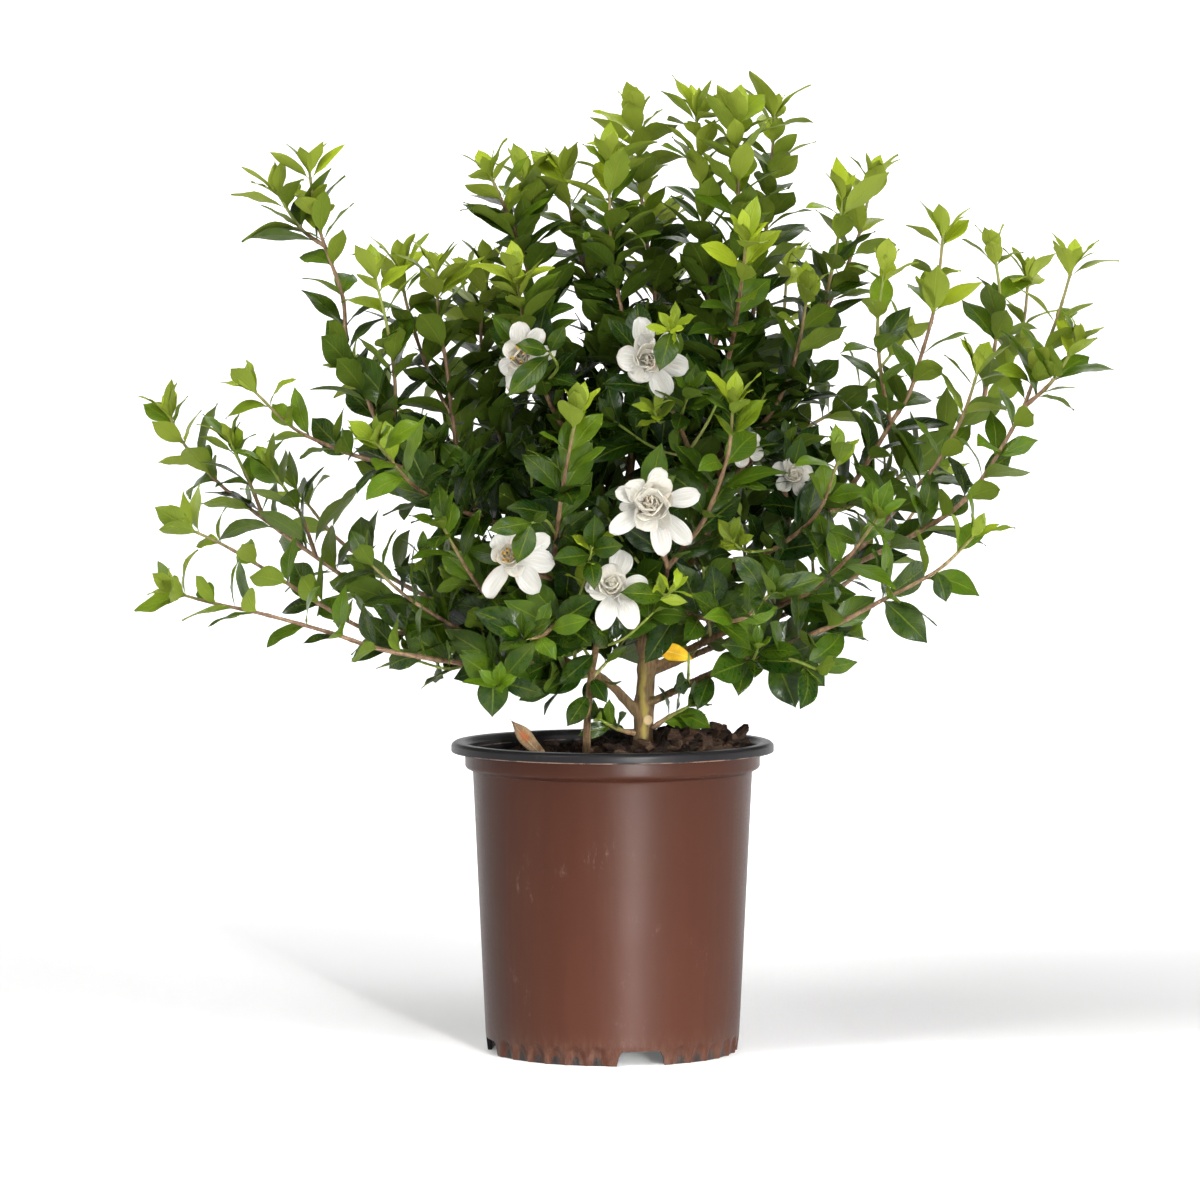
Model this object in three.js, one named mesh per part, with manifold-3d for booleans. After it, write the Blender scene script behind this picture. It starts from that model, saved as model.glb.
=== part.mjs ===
// A potted gardenia: a leafy bush with double white blooms in a brown nursery pot.
// Millimetres, +Z up. The origin is on the pot's axis at the ground, and the front faces -Y.
import * as THREE from 'three';
import { mergeGeometries, mergeVertices } from 'three/addons/utils/BufferGeometryUtils.js';
import Module from 'manifold-3d';

const wasm = await Module();
wasm.setup();

// ---------------------------------------------------------------- driving dimensions

const GAP = 0.3; // air kept between neighbouring pieces
const UP = new THREE.Vector3(0, 0, 1);
const AXES = [new THREE.Vector3(1, 0, 0), new THREE.Vector3(0, 1, 0), UP];
const DEGREE = Math.PI / 180;
const SEED = 2; // of the leaves' draws

const POT = {
  height: 231,
  lipRadius: 120,
  lipDrop: 7.5,
  collarRadius: 109.7,
  collarBottom: 212,
  shoulderRadius: 104,
  shoulder: 208,
  footRadius: 93,
  footWall: 3.4,
  wall: 1.8,
  floor: 14,
  sides: 36,
};

const NOTCH = { count: 4, first: -77, width: 37, height: 11, corner: 3 };
const FLUTE = { perQuarter: 6, pitch: 10, radius: 6, depth: 1.5, height: 14 };
const DRAIN = { radius: 6, ring: 66 };

const MIX = { lowTop: 215, heap: 19, chips: 6, chipRing: 96, sides: 24, rings: [84, 56, 28, 0] };

const LEAF = {
  length: 46,
  width: 0.42, // share of the length
  thickness: 1.3, // at the midrib; the edges are sharp
  fold: 0.22, // rise of the edges over the midrib, as a share of the half width
  rows: 3,
  gap: 150, // between two pairs along a stem
};

const PETAL_THICKNESS = 1.4;

// ---------------------------------------------------------------- solids

const point = ([x, y, z]) => new THREE.Vector3(x, y, z);

/** A closed three.js geometry as a solid that can be joined and cut. */
function solid(geometry) {
  const bare = geometry.clone();
  bare.deleteAttribute('normal');
  bare.deleteAttribute('uv');
  const merged = mergeVertices(bare, 1e-4);
  const triVerts = [];
  const index = merged.index.array;
  for (let i = 0; i < index.length; i += 3) {
    const [a, b, c] = [index[i], index[i + 1], index[i + 2]];
    if (a !== b && b !== c && c !== a) triVerts.push(a, b, c);
  }
  return new wasm.Manifold(new wasm.Mesh({
    numProp: 3,
    vertProperties: merged.attributes.position.array,
    triVerts: new Uint32Array(triVerts),
  }));
}

/** The solid's largest body, without loose scraps. */
function largestBody(shape) {
  const bodies = shape.decompose();
  return bodies.reduce((best, body) => (body.volume() > best.volume() ? body : best));
}

function namedMesh(name, shape, material) {
  const { vertProperties, triVerts } = shape.getMesh();
  const geometry = new THREE.BufferGeometry();
  geometry.setAttribute('position', new THREE.BufferAttribute(vertProperties, 3));
  geometry.setIndex(new THREE.BufferAttribute(triVerts, 1));
  geometry.computeVertexNormals();
  const mesh = new THREE.Mesh(geometry, material);
  mesh.name = name;
  return mesh;
}

/** The same seeded draws from 0 to 1 on every run. */
function draws(seed) {
  let state = seed;
  return () => {
    state = (state + 0x6d2b79f5) | 0;
    let t = Math.imul(state ^ (state >>> 15), 1 | state);
    t = (t + Math.imul(t ^ (t >>> 7), 61 | t)) ^ t;
    return ((t ^ (t >>> 14)) >>> 0) / 4294967296;
  };
}

const between = (draw, low, high) => low + (high - low) * draw();

// ---------------------------------------------------------------- stems

const routeCurve = (route) => new THREE.CatmullRomCurve3(route.map(point), false, 'catmullrom', 0.5);

/** The axis that a curve stays furthest from running along. */
function referenceOf(curve) {
  const runs = [0, 0.25, 0.5, 0.75, 1].map((t) => curve.getTangent(t));
  const worst = (axis) => Math.max(...runs.map((run) => Math.abs(run.dot(axis))));
  return AXES.reduce((best, axis) => (worst(axis) < worst(best) ? axis : best));
}

/** Two directions square to a run, the first also square to the reference. */
function squareTo(run, reference) {
  const first = new THREE.Vector3().crossVectors(run, reference).normalize();
  return [first, new THREE.Vector3().crossVectors(run, first)];
}

/** A tapered round stem: a closed cylinder bent along its route. */
function stemSolid(route, thick, thin, sides, swell = 0) {
  const curve = routeCurve(route);
  const reference = referenceOf(curve);
  const steps = Math.max(2, Math.round(route.length * 0.6));
  const tube = new THREE.CylinderGeometry(thin, thick, 1, sides, steps);
  const places = tube.attributes.position;
  for (let i = 0; i < places.count; i += 1) {
    const along = places.getY(i) + 0.5;
    const centre = curve.getPoint(along);
    const run = curve.getTangent(along);
    const [first, second] = squareTo(run, reference);
    const radius = Math.hypot(places.getX(i), places.getZ(i));
    const grow = radius > 0 ? (radius + swell) / radius : 0;
    centre.addScaledVector(first, places.getX(i) * grow);
    centre.addScaledVector(second, -places.getZ(i) * grow);
    if (along === 0 || along === 1) centre.addScaledVector(run, (2 * along - 1) * swell);
    places.setXYZ(i, centre.x, centre.y, centre.z);
  }
  return solid(tube);
}

// ---------------------------------------------------------------- blades

/** Half width of a gardenia leaf from its root (0) to its tip (1): widest past the middle. */
const leafOutline = (s) => Math.sin(Math.PI * s ** 1.15) ** 0.85;

/** Half width of a petal: narrow at the root, broad and round at the tip. */
const petalOutline = (s) => Math.sin(Math.PI * 0.5 * Math.min(1, s * 1.4)) ** 1.7 - 0.45 * s ** 5;

/**
 * A leaf or petal: a sheet bent along an arc that starts `lift` away from `along`,
 * leans on by `bend` towards `out`, folded up at its edges and thick at its midrib.
 */
function bladeGeometry(blade) {
  const { root, along, out, length, lift, bend, rows } = blade;
  const start = blade.start ?? 0;
  const side = new THREE.Vector3().crossVectors(along, out);
  const halfWidth = 0.5 * blade.width * length;
  const extra = blade.extra ?? 0;
  const upper = new THREE.PlaneGeometry(2, 1, 2, rows);
  const lower = upper.clone();
  for (const [sheet, face] of [[upper, 0.5], [lower, -0.5]]) {
    const places = sheet.attributes.position;
    for (let i = 0; i < places.count; i += 1) {
      const across = places.getX(i);
      const s = start + (1 - start) * (0.5 - places.getY(i));
      const angle = lift + bend * s;
      const forward = (length * (Math.sin(angle) - Math.sin(lift))) / bend;
      const outward = (length * (Math.cos(lift) - Math.cos(angle))) / bend;
      const reach = across * (halfWidth * blade.outline(s) + extra);
      const rim = s <= start || s >= 1 || across !== 0;
      const tilt = Math.sin(blade.roll) * reach;
      const rise = tilt + blade.fold * Math.abs(reach) + (rim ? 0 : face * blade.thickness);
      const spot = root.clone()
        .addScaledVector(along, forward + rise * Math.sin(angle))
        .addScaledVector(out, outward - rise * Math.cos(angle))
        .addScaledVector(side, reach);
      places.setXYZ(i, spot.x, spot.y, spot.z);
    }
  }
  turnOver(lower);
  return mergeGeometries([upper, lower]);
}

/** Turns a sheet's triangles over so that they face the other way. */
function turnOver(sheet) {
  const index = sheet.index.array;
  for (let i = 0; i < index.length; i += 3) [index[i], index[i + 1]] = [index[i + 1], index[i]];
}

const bladeSolid = (blade, changes = {}) => solid(bladeGeometry({ ...blade, ...changes }));

// ---------------------------------------------------------------- obstacles

const taken = []; // what leaves have to keep clear of: { owner, shape, box }

function boxOf(shape) {
  const { min, max } = shape.boundingBox();
  return new THREE.Box3(point(min), point(max));
}

function take(owner, shape) {
  taken.push({ owner, shape, box: boxOf(shape) });
}

function isClear(probe, ownProbe, owner) {
  const box = boxOf(probe);
  return taken.every((other) => {
    if (!box.intersectsBox(other.box)) return true;
    const tested = other.owner === owner ? ownProbe : probe;
    return tested.intersect(other.shape).isEmpty();
  });
}

// ---------------------------------------------------------------- pot

/** The outer wall's radius at a height. */
function wallRadius(z) {
  const share = THREE.MathUtils.clamp(z / POT.shoulder, 0, 1);
  return POT.footRadius + 1 + share * (POT.shoulderRadius - POT.footRadius - 1);
}

const innerRadius = (z) => wallRadius(z) - POT.wall;

function potProfile() {
  const { height, lipRadius, lipDrop, collarRadius, collarBottom, shoulder, wall, floor } = POT;
  const lipBottom = height - lipDrop;
  const outline = [
    [0, floor],
    [POT.footRadius - POT.footWall - 0.6, floor],
    [POT.footRadius - POT.footWall, 0],
    [POT.footRadius, 0],
    [wallRadius(floor), floor],
    [POT.shoulderRadius, shoulder + 1],
    [collarRadius - 1.2, collarBottom - 0.6],
    [collarRadius, collarBottom + 1],
    [collarRadius, height - wall - 0.6],
    [lipRadius - wall - 0.4, height - wall - 0.6],
    [lipRadius - wall, lipBottom],
    [lipRadius, lipBottom],
    [lipRadius, height - 2],
    [lipRadius - 2.4, height],
    [collarRadius + 1.8, height],
    [collarRadius - wall, height - 3.4],
    [collarRadius - wall, collarBottom + 1],
    [innerRadius(shoulder), shoulder - 0.4],
    [innerRadius(floor + 4), floor + wall + 2],
    [innerRadius(floor) - 2, floor + wall],
    [0, floor + wall],
  ];
  return outline.map(([radius, z]) => new THREE.Vector2(radius, z));
}

/** A lathe's own axis is Y; this stands it up along Z. */
const standingLathe = (profile, sides) => new THREE.LatheGeometry(profile, sides).rotateX(Math.PI / 2);

/** The block that one drain notch takes out of the foot ring. */
function notchCutter(turn) {
  const { width, height, corner } = NOTCH;
  const half = width / 2;
  const outline = new THREE.Shape()
    .moveTo(-half, -1)
    .lineTo(half, -1)
    .lineTo(half - 2, height - corner)
    .quadraticCurveTo(half - 2.5, height, half - 2.5 - corner, height)
    .lineTo(corner + 2.5 - half, height)
    .quadraticCurveTo(2.5 - half, height, 2 - half, height - corner);
  const block = new THREE.ExtrudeGeometry(outline, { depth: 30, bevelEnabled: false, curveSegments: 2 });
  block.rotateX(Math.PI / 2).rotateZ(Math.PI / 2);
  return solid(block.translate(POT.footRadius - 20, 0, 0).rotateZ(turn));
}

function fluteCutter(turn) {
  const { radius, depth, height } = FLUTE;
  const rod = new THREE.CylinderGeometry(radius * 0.8, radius, height + 1, 6).rotateX(Math.PI / 2);
  rod.translate(POT.footRadius + radius - depth, 0, (height - 1) / 2);
  return solid(rod.rotateZ(turn));
}

function drainCutter(turn) {
  const rod = new THREE.CylinderGeometry(DRAIN.radius, DRAIN.radius, 8, 8).rotateX(Math.PI / 2);
  return solid(rod.translate(DRAIN.ring, 0, POT.floor + 1).rotateZ(turn));
}

function pot() {
  let shell = solid(standingLathe(potProfile(), POT.sides));
  if (shell.volume() < 0) throw new Error('the pot faces inwards');
  for (let quarter = 0; quarter < NOTCH.count; quarter += 1) {
    const turn = (NOTCH.first + quarter * 90) * DEGREE;
    shell = shell.subtract(notchCutter(turn)).subtract(drainCutter(turn));
    for (let k = 0; k < FLUTE.perQuarter; k += 1) {
      const aside = 45 + (k - (FLUTE.perQuarter - 1) / 2) * FLUTE.pitch;
      shell = shell.subtract(fluteCutter(turn + aside * DEGREE));
    }
  }
  return shell;
}

// ---------------------------------------------------------------- potting mix

/** The mix's top: low at the left, heaped at the right, uneven all over. */
function mixTop(x, y) {
  const rise = THREE.MathUtils.smoothstep(x, -45, 65);
  const radius = Math.hypot(x, y);
  const edge = THREE.MathUtils.smoothstep(radius, 70, 108);
  const uneven = 1.8 * Math.sin(x / 11 + 1) * Math.cos(y / 13) + 1.2 * Math.sin((x + y) / 6);
  return MIX.lowTop + MIX.heap * rise * (1 - 0.35 * edge) + uneven * (1 - 0.6 * edge);
}

function mixBody() {
  const collarInside = POT.collarRadius - POT.wall - GAP;
  const profile = [
    [0, POT.floor + POT.wall + GAP],
    [innerRadius(POT.floor) - 2.4, POT.floor + POT.wall + GAP],
    [innerRadius(POT.floor + 4) - 0.5, POT.floor + POT.wall + 2.6],
    [innerRadius(POT.shoulder) - GAP - 0.1, POT.shoulder - 0.4],
    [collarInside - 0.2, POT.collarBottom + 1.2],
  ];
  const lifted = 2 * POT.height; // the top's rings stand clear first, then are laid to the surface
  const top = [collarInside - 0.2, ...MIX.rings].map((radius) => [radius, lifted]);
  const outline = [...profile, ...top];
  const lathe = standingLathe(outline.map(([r, z]) => new THREE.Vector2(r, z)), MIX.sides);
  const places = lathe.attributes.position;
  for (let i = 0; i < places.count; i += 1) {
    if (places.getZ(i) > POT.height) places.setZ(i, mixTop(places.getX(i), places.getY(i)));
  }
  return solid(lathe);
}

/** One flake of bark: a skewed thin block, half sunk in the mix. */
function barkChip(draw) {
  const length = between(draw, 12, 30);
  const chip = new THREE.BoxGeometry(length, between(draw, 6, 13), between(draw, 3, 6));
  const places = chip.attributes.position;
  for (let i = 0; i < places.count; i += 1) {
    const skew = 1 + 0.25 * Math.sin(3 * Math.atan2(places.getY(i), places.getX(i)) + length);
    places.setXYZ(i, places.getX(i) * skew, places.getY(i) * skew, places.getZ(i));
  }
  chip.rotateX(between(draw, -0.6, 0.6)).rotateY(between(draw, -0.45, 0.45));
  chip.rotateZ(between(draw, 0, Math.PI));
  const radius = (MIX.chipRing - length / 2) * Math.sqrt(draw());
  const turn = between(draw, 0, 2 * Math.PI);
  const [x, y] = [radius * Math.cos(turn), radius * Math.sin(turn)];
  return chip.translate(x, y, mixTop(x, y) + between(draw, -0.8, 1.6));
}

function mix(stems) {
  const draw = draws(41);
  let body = mixBody();
  for (let k = 0; k < MIX.chips; k += 1) body = body.add(solid(barkChip(draw)));
  for (const stem of stems) body = body.subtract(stem);
  return largestBody(body);
}

// ---------------------------------------------------------------- wood

// Each limb is [radius at its foot, radius at its end, route], the trunk first.
const LIMBS = [
  [8, 6.6, [[22, 0, 183], [23, 0, 240], [24, 1, 264], [26, 0, 292]]],
  [5.2, 2.4, [[26, 0, 288], [14, 6, 335], [8, 10, 385], [14, 10, 440], [19, 6, 495]]],
  [3.4, 2.1, [[8, 10, 385], [-14, 16, 430], [-34, 16, 480], [-52, 10, 535]]],
  [5.6, 2.4, [[26, 0, 288], [42, 8, 330], [64, 12, 370], [76, 8, 415], [78, 4, 465], [75, 0, 520]]],
  [3.6, 2.2, [[18, -2, 252], [0, -6, 272], [-22, -10, 286], [-50, -16, 297], [-85, -18, 306],
    [-126, -10, 318]]],
  [2.6, 2, [[-40, -14, 294], [-74, -40, 289], [-105, -62, 292]]],
  [3, 2.2, [[9, 10, 380], [-50, 5, 385], [-98, -5, 396], [-140, -10, 420]]],
  [3, 2.1, [[24, -2, 258], [60, -16, 276], [94, -34, 292], [125, -52, 304]]],
  [3.2, 2.2, [[26, 0, 284], [70, -6, 306], [112, -14, 328], [150, -24, 352]]],
  [3, 2.1, [[52, 10, 350], [92, 0, 362], [132, -10, 382], [160, -20, 404]]],
  [2.6, 2.1, [[77, 7, 430], [94, 14, 446], [110, 20, 464]]],
  [3, 2.1, [[11, 8, 360], [-25, 58, 395], [-60, 105, 430]]],
  [3, 2.1, [[60, 12, 362], [75, 62, 400], [95, 115, 440]]],
  [2.8, 2, [[26, 2, 286], [15, 56, 310], [0, 112, 325]]],
  [2.8, 2, [[28, 0, 282], [80, 45, 300], [130, 85, 320]]],
  [2.4, 2, [[-22, -10, 286], [-70, 40, 305], [-120, 80, 325]]],
  [2.8, 2, [[34, 4, 310], [35, -45, 335], [40, -85, 365]]],
  [2.6, 2, [[16, 5, 330], [-18, -35, 345], [-45, -70, 355]]],
  [2.4, 1.9, [[75, 8, 405], [60, -35, 440], [45, -70, 475]]],
];
const SECOND_STEM = [3.3, 2.2, [[-19, -22, 190], [-19, -24, 238], [-17, -30, 272], [-12, -50, 305],
  [-8, -75, 325]]];

const limbSolid = ([thick, thin, route], swell) => stemSolid(route, thick, thin, thick > 4 ? 8 : 4, swell);
const joined = (shapes) => shapes.reduce((whole, shape) => whole.add(shape));

// ---------------------------------------------------------------- shoots

// A shoot is a list of stems: the first grows from the wood, the others fork from it.
const SHOOTS = {
  left_tall: [
    [[-140, -10, 420], [-166, -12, 452], [-184, -8, 492], [-197, 0, 522], [-200, 5, 560],
      [-214, 8, 600], [-221, 9, 625], [-225, 10, 655]],
    [[-213, 8, 598], [-232, 16, 612], [-248, 20, 636]],
    [[-166, -12, 452], [-160, -28, 490], [-165, -34, 535], [-174, -36, 574]],
  ],
  left_crumpled: [
    [[-138, -11, 418], [-152, -32, 434], [-184, -45, 443], [-208, -52, 452], [-235, -56, 466],
      [-262, -58, 492]],
  ],
  left_far: [
    [[-126, -10, 318], [-158, 5, 332], [-186, 20, 343], [-222, 38, 366], [-262, 52, 394],
      [-296, 64, 420], [-322, 72, 448], [-334, 74, 470]],
    [[-262, 52, 394], [-272, 50, 420], [-286, 48, 450]],
    [[-222, 38, 366], [-234, 30, 400], [-254, 24, 432]],
  ],
  left_level: [
    [[-124, -10, 318], [-150, -30, 314], [-180, -40, 316], [-216, -46, 336], [-250, -48, 358],
      [-284, -46, 378], [-310, -42, 390]],
  ],
  left_lowest: [
    [[-104, -62, 292], [-136, -78, 298], [-172, -92, 306], [-205, -104, 318], [-252, -116, 332],
      [-290, -124, 341], [-314, -128, 348]],
    [[-74, -40, 289], [-82, -56, 290], [-88, -70, 290]],
  ],
  left_lower: [
    [[-85, -18, 306], [-98, -38, 310], [-120, -60, 322], [-150, -72, 342], [-176, -78, 366]],
  ],
  left_upright: [
    [[-98, -5, 396], [-112, -10, 430], [-118, -14, 470], [-122, -16, 505], [-128, -18, 545],
      [-130, -20, 580]],
    [[-118, -14, 470], [-138, 0, 510], [-152, 10, 552], [-158, 14, 582]],
  ],
  left_inner: [
    [[-54, 5, 385], [-72, 12, 430], [-92, 18, 480], [-98, 22, 530], [-94, 26, 582]],
  ],
  left_front: [
    [[-75, 0, 390], [-104, -60, 402], [-140, -115, 422], [-168, -160, 456]],
  ],
  left_centre: [
    [[-50, -16, 297], [-78, -58, 326], [-102, -96, 358], [-122, -128, 395]],
  ],
  top_left: [
    [[-52, 10, 535], [-64, 4, 585], [-76, -2, 618], [-90, -6, 650]],
    [[-64, 4, 585], [-62, 22, 615], [-65, 34, 648]],
  ],
  top_fork: [
    [[19, 6, 495], [4, 12, 530], [-12, 18, 565], [-26, 22, 598], [-36, 24, 652]],
    [[19, 6, 496], [8, -6, 545], [0, -10, 590], [-2, -12, 625], [-3, -12, 660]],
  ],
  top_middle: [
    [[19, 5, 490], [32, 22, 545], [26, 32, 600], [20, 36, 650], [18, 36, 694]],
  ],
  top_twin: [
    [[75, 0, 520], [71, 2, 565], [68, 4, 600], [65, 6, 650], [62, 6, 696]],
    [[75, 0, 521], [86, -14, 560], [92, -20, 610], [92, -24, 660], [90, -24, 690]],
  ],
  top_right: [
    [[78, 4, 470], [100, 20, 530], [112, 30, 590], [118, 34, 650], [121, 36, 698]],
  ],
  top_front: [
    [[77, 3, 482], [86, -42, 520], [92, -82, 560], [96, -108, 600]],
  ],
  top_left_front: [
    [[-20, 16, 444], [-44, -26, 478], [-62, -64, 530], [-70, -84, 575]],
  ],
  right_tall: [
    [[110, 20, 464], [134, 24, 504], [150, 30, 532], [163, 36, 558], [174, 40, 580],
      [186, 44, 612], [194, 46, 646]],
    [[150, 30, 532], [158, 6, 560], [166, -6, 600], [170, -12, 632]],
  ],
  right_upright: [
    [[160, -20, 404], [176, -30, 422], [190, -38, 444], [204, -44, 468], [217, -50, 490],
      [225, -54, 516], [234, -56, 548], [238, -58, 575], [241, -60, 606]],
    [[204, -44, 468], [196, -72, 500], [192, -86, 540], [196, -94, 578]],
  ],
  right_back: [
    [[158, -19, 403], [198, 10, 416], [222, 35, 432], [250, 60, 452], [280, 80, 480],
      [300, 92, 505], [312, 98, 540], [316, 100, 576]],
    [[280, 80, 480], [288, 72, 520], [292, 68, 560], [288, 66, 592]],
  ],
  right_inner: [
    [[150, -24, 352], [184, -34, 378], [214, -44, 412], [238, -54, 440], [256, -62, 475],
      [266, -66, 506]],
  ],
  right_far: [
    [[148, -24, 351], [184, -48, 368], [218, -62, 386], [246, -72, 404], [264, -76, 422],
      [282, -80, 450], [298, -82, 480], [308, -84, 508], [322, -86, 545], [334, -88, 586]],
    [[298, -82, 480], [318, -98, 500], [334, -106, 526]],
  ],
  right_low: [
    [[125, -52, 304], [140, -62, 312], [168, -78, 325], [196, -92, 341], [218, -102, 353],
      [238, -110, 366], [260, -116, 388]],
  ],
  right_drooping: [
    [[94, -34, 292], [112, -52, 298], [132, -72, 296], [148, -84, 290]],
  ],
  right_front: [
    [[112, -14, 328], [142, -70, 345], [168, -125, 372], [188, -172, 404]],
  ],
  right_centre: [
    [[94, 0, 363], [118, -50, 376], [148, -96, 404], [162, -130, 444]],
  ],
  right_middle: [
    [[94, 14, 446], [120, -15, 480], [135, -42, 520], [142, -60, 562]],
  ],
  front_low: [
    [[35, -45, 335], [66, -98, 328], [92, -143, 330], [111, -182, 350]],
  ],
  front_high: [
    [[40, -84, 364], [66, -106, 400], [82, -128, 445], [86, -140, 482]],
  ],
  front_left: [
    [[-44, -69, 355], [-40, -106, 395], [-34, -136, 436], [-26, -152, 476]],
  ],
  front_down: [
    [[-20, -36, 345], [-36, -86, 330], [-50, -134, 318], [-64, -176, 318]],
  ],
  back_left_high: [
    [[-60, 105, 430], [-85, 125, 470], [-105, 145, 520], [-115, 158, 572]],
    [[-60, 105, 430], [-102, 120, 442], [-150, 138, 466], [-198, 150, 502]],
  ],
  back_right_high: [
    [[95, 115, 440], [115, 135, 480], [130, 155, 530], [135, 166, 582]],
    [[95, 115, 440], [138, 130, 456], [185, 145, 484], [224, 155, 528]],
  ],
  back_middle: [
    [[0, 112, 325], [-10, 144, 350], [-15, 168, 385], [-15, 180, 422]],
  ],
  back_right_low: [
    [[130, 85, 320], [175, 115, 340], [215, 140, 374], [248, 155, 418]],
  ],
  back_left_low: [
    [[-120, 80, 325], [-165, 110, 345], [-210, 135, 375], [-244, 150, 414]],
  ],
  back_low: [
    [[18, 52, 308], [50, 108, 340], [75, 148, 370], [88, 176, 412]],
  ],
  back_top: [
    [[74, 60, 398], [60, 105, 450], [45, 132, 510], [38, 145, 570], [35, 150, 618]],
  ],
  sprout_left: [[[16, -4, 237], [4, -16, 241], [-8, -26, 248]]],
  sprout_right: [[[30, -4, 241], [42, -12, 250], [56, -20, 258]]],
};
const LEAF_SIZES = { sprout_left: 0.6, sprout_right: 0.62 };

// Single leaves that hang in view, larger than the rest: for each shoot the stem that carries it,
// the place along that stem, the tip, and the width as a share of the length.
const LARGE_LEAVES = {
  left_lowest: [{ stem: 1, at: 0.97, tip: [-88, -80, 254], width: 0.6 }],
  right_low: [{ stem: 0, at: 0.5, tip: [228, -106, 310], width: 0.5 }],
  right_drooping: [
    { stem: 0, at: 0.43, tip: [134, -68, 260], width: 0.6 },
    { stem: 0, at: 0.72, tip: [155, -84, 277], width: 0.56 },
  ],
  front_low: [{ stem: 0, at: 0.14, tip: [23, -64, 292], width: 0.38 }],
};
const HANGING = { bend: 35, facing: [0.1, -1, 0.25] };

// Blooms: where each one's middle is and where it faces; its outer petals as [clock angle seen
// from the front, length, width]; its cup and heart as [petals, length]; its shoot's route.
const BLOOMS = {
  bloom_middle: {
    centre: [27, -146, 413], facing: [0.05, -1, 0.12], cup: [5, 21], heart: [3, 13],
    petals: [[16, 28, 14], [80, 36, 15], [136, 41, 15], [165, 39, 14], [235, 36, 14], [262, 23, 9],
      [288, 27, 13]],
    route: [[40, -84, 364]],
  },
  bloom_left: {
    centre: [-73, -128, 373], facing: [-0.15, -1, 0.25], cup: [4, 14], heart: [2, 9],
    petals: [[18, 28, 16], [62, 32, 15], [96, 32, 17], [139, 33, 19], [209, 33, 20], [330, 22, 17]],
    route: [[-44, -69, 355]],
  },
  bloom_low: {
    centre: [-1, -130, 352], facing: [0.1, -1, 0.35], cup: [4, 16], heart: [3, 11],
    petals: [[20, 31, 19], [88, 27, 16], [152, 35, 17], [174, 22, 13], [194, 33, 15], [270, 19, 15]],
    route: [[-8, -74, 324]],
  },
  bloom_high: {
    centre: [25, -114, 516], facing: [0.1, -1, 0.05], cup: [4, 17], heart: [3, 12],
    petals: [[51, 27, 16], [103, 30, 18], [153, 31, 17], [215, 19, 16], [273, 23, 18], [350, 31, 18]],
    route: [[45, -69, 474]],
  },
  bloom_upper_left: {
    centre: [-65, -122, 517], facing: [-0.1, -1, 0.1], cup: [4, 15], heart: [2, 10],
    petals: [[35, 25, 13], [80, 25, 12], [164, 27, 10], [204, 26, 11], [238, 19, 14], [355, 26, 16]],
    route: [[-38, 15, 490], [-48, -40, 496]],
  },
  bloom_right: {
    centre: [131, -62, 430], facing: [0.2, -1, 0.3], cup: [4, 12], heart: [2, 8],
    petals: [[10, 16, 12], [82, 16, 12], [154, 16, 12], [226, 16, 12], [298, 16, 12]],
    route: [[132, -10, 382]],
  },
  bloom_inner: {
    centre: [96, -70, 450], facing: [-0.2, -1, 0.4], cup: [3, 11], heart: [2, 7],
    petals: [[40, 15, 11], [112, 15, 11], [184, 15, 11], [256, 15, 11], [328, 15, 11]],
    route: [[76, 8, 415]],
  },
};

const SHOOT = { thick: 2, thin: 1.1, forkThick: 1.6, sides: 4, tuft: 2 };
const RECEPTACLE = 6;

/** The leaf at one place on a stem, turned towards the light. */
function leafBlade(curve, t, azimuth, draw, size) {
  const run = curve.getTangent(t);
  const [first, second] = squareTo(run, referenceOf(curve));
  const along = run.clone().addScaledVector(UP, 0.35).normalize();
  const out = first.multiplyScalar(Math.cos(azimuth)).addScaledVector(second, Math.sin(azimuth));
  out.addScaledVector(UP, 0.3);
  out.addScaledVector(along, -out.dot(along)).normalize();
  return {
    root: curve.getPoint(t).addScaledVector(out, 0.5),
    along,
    out,
    length: LEAF.length * size * between(draw, 0.85, 1.12),
    width: LEAF.width * between(draw, 0.9, 1.1),
    lift: between(draw, 28, 52) * DEGREE,
    bend: between(draw, 14, 46) * DEGREE,
    roll: between(draw, -16, 16) * DEGREE,
    fold: LEAF.fold,
    thickness: LEAF.thickness,
    rows: LEAF.rows,
    outline: leafOutline,
  };
}

/** The blade itself, or the first of a few bends of it that keeps clear, or nothing. */
function clearBlade(blade, owner) {
  for (const turn of [0, 20, -20, 40, -40, 65, -65]) {
    for (const rise of [0, -18, 22]) {
      const bent = {
        ...blade,
        out: blade.out.clone().applyAxisAngle(blade.along, turn * DEGREE),
        lift: blade.lift + rise * DEGREE,
      };
      const fat = { thickness: blade.thickness + 2 * GAP, extra: 1.5 * GAP, length: blade.length + GAP };
      const probe = bladeSolid(bent, fat);
      const ownProbe = bladeSolid(bent, { ...fat, start: 0.3 });
      if (isClear(probe, ownProbe, owner)) return bent;
    }
  }
  return null;
}

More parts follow.
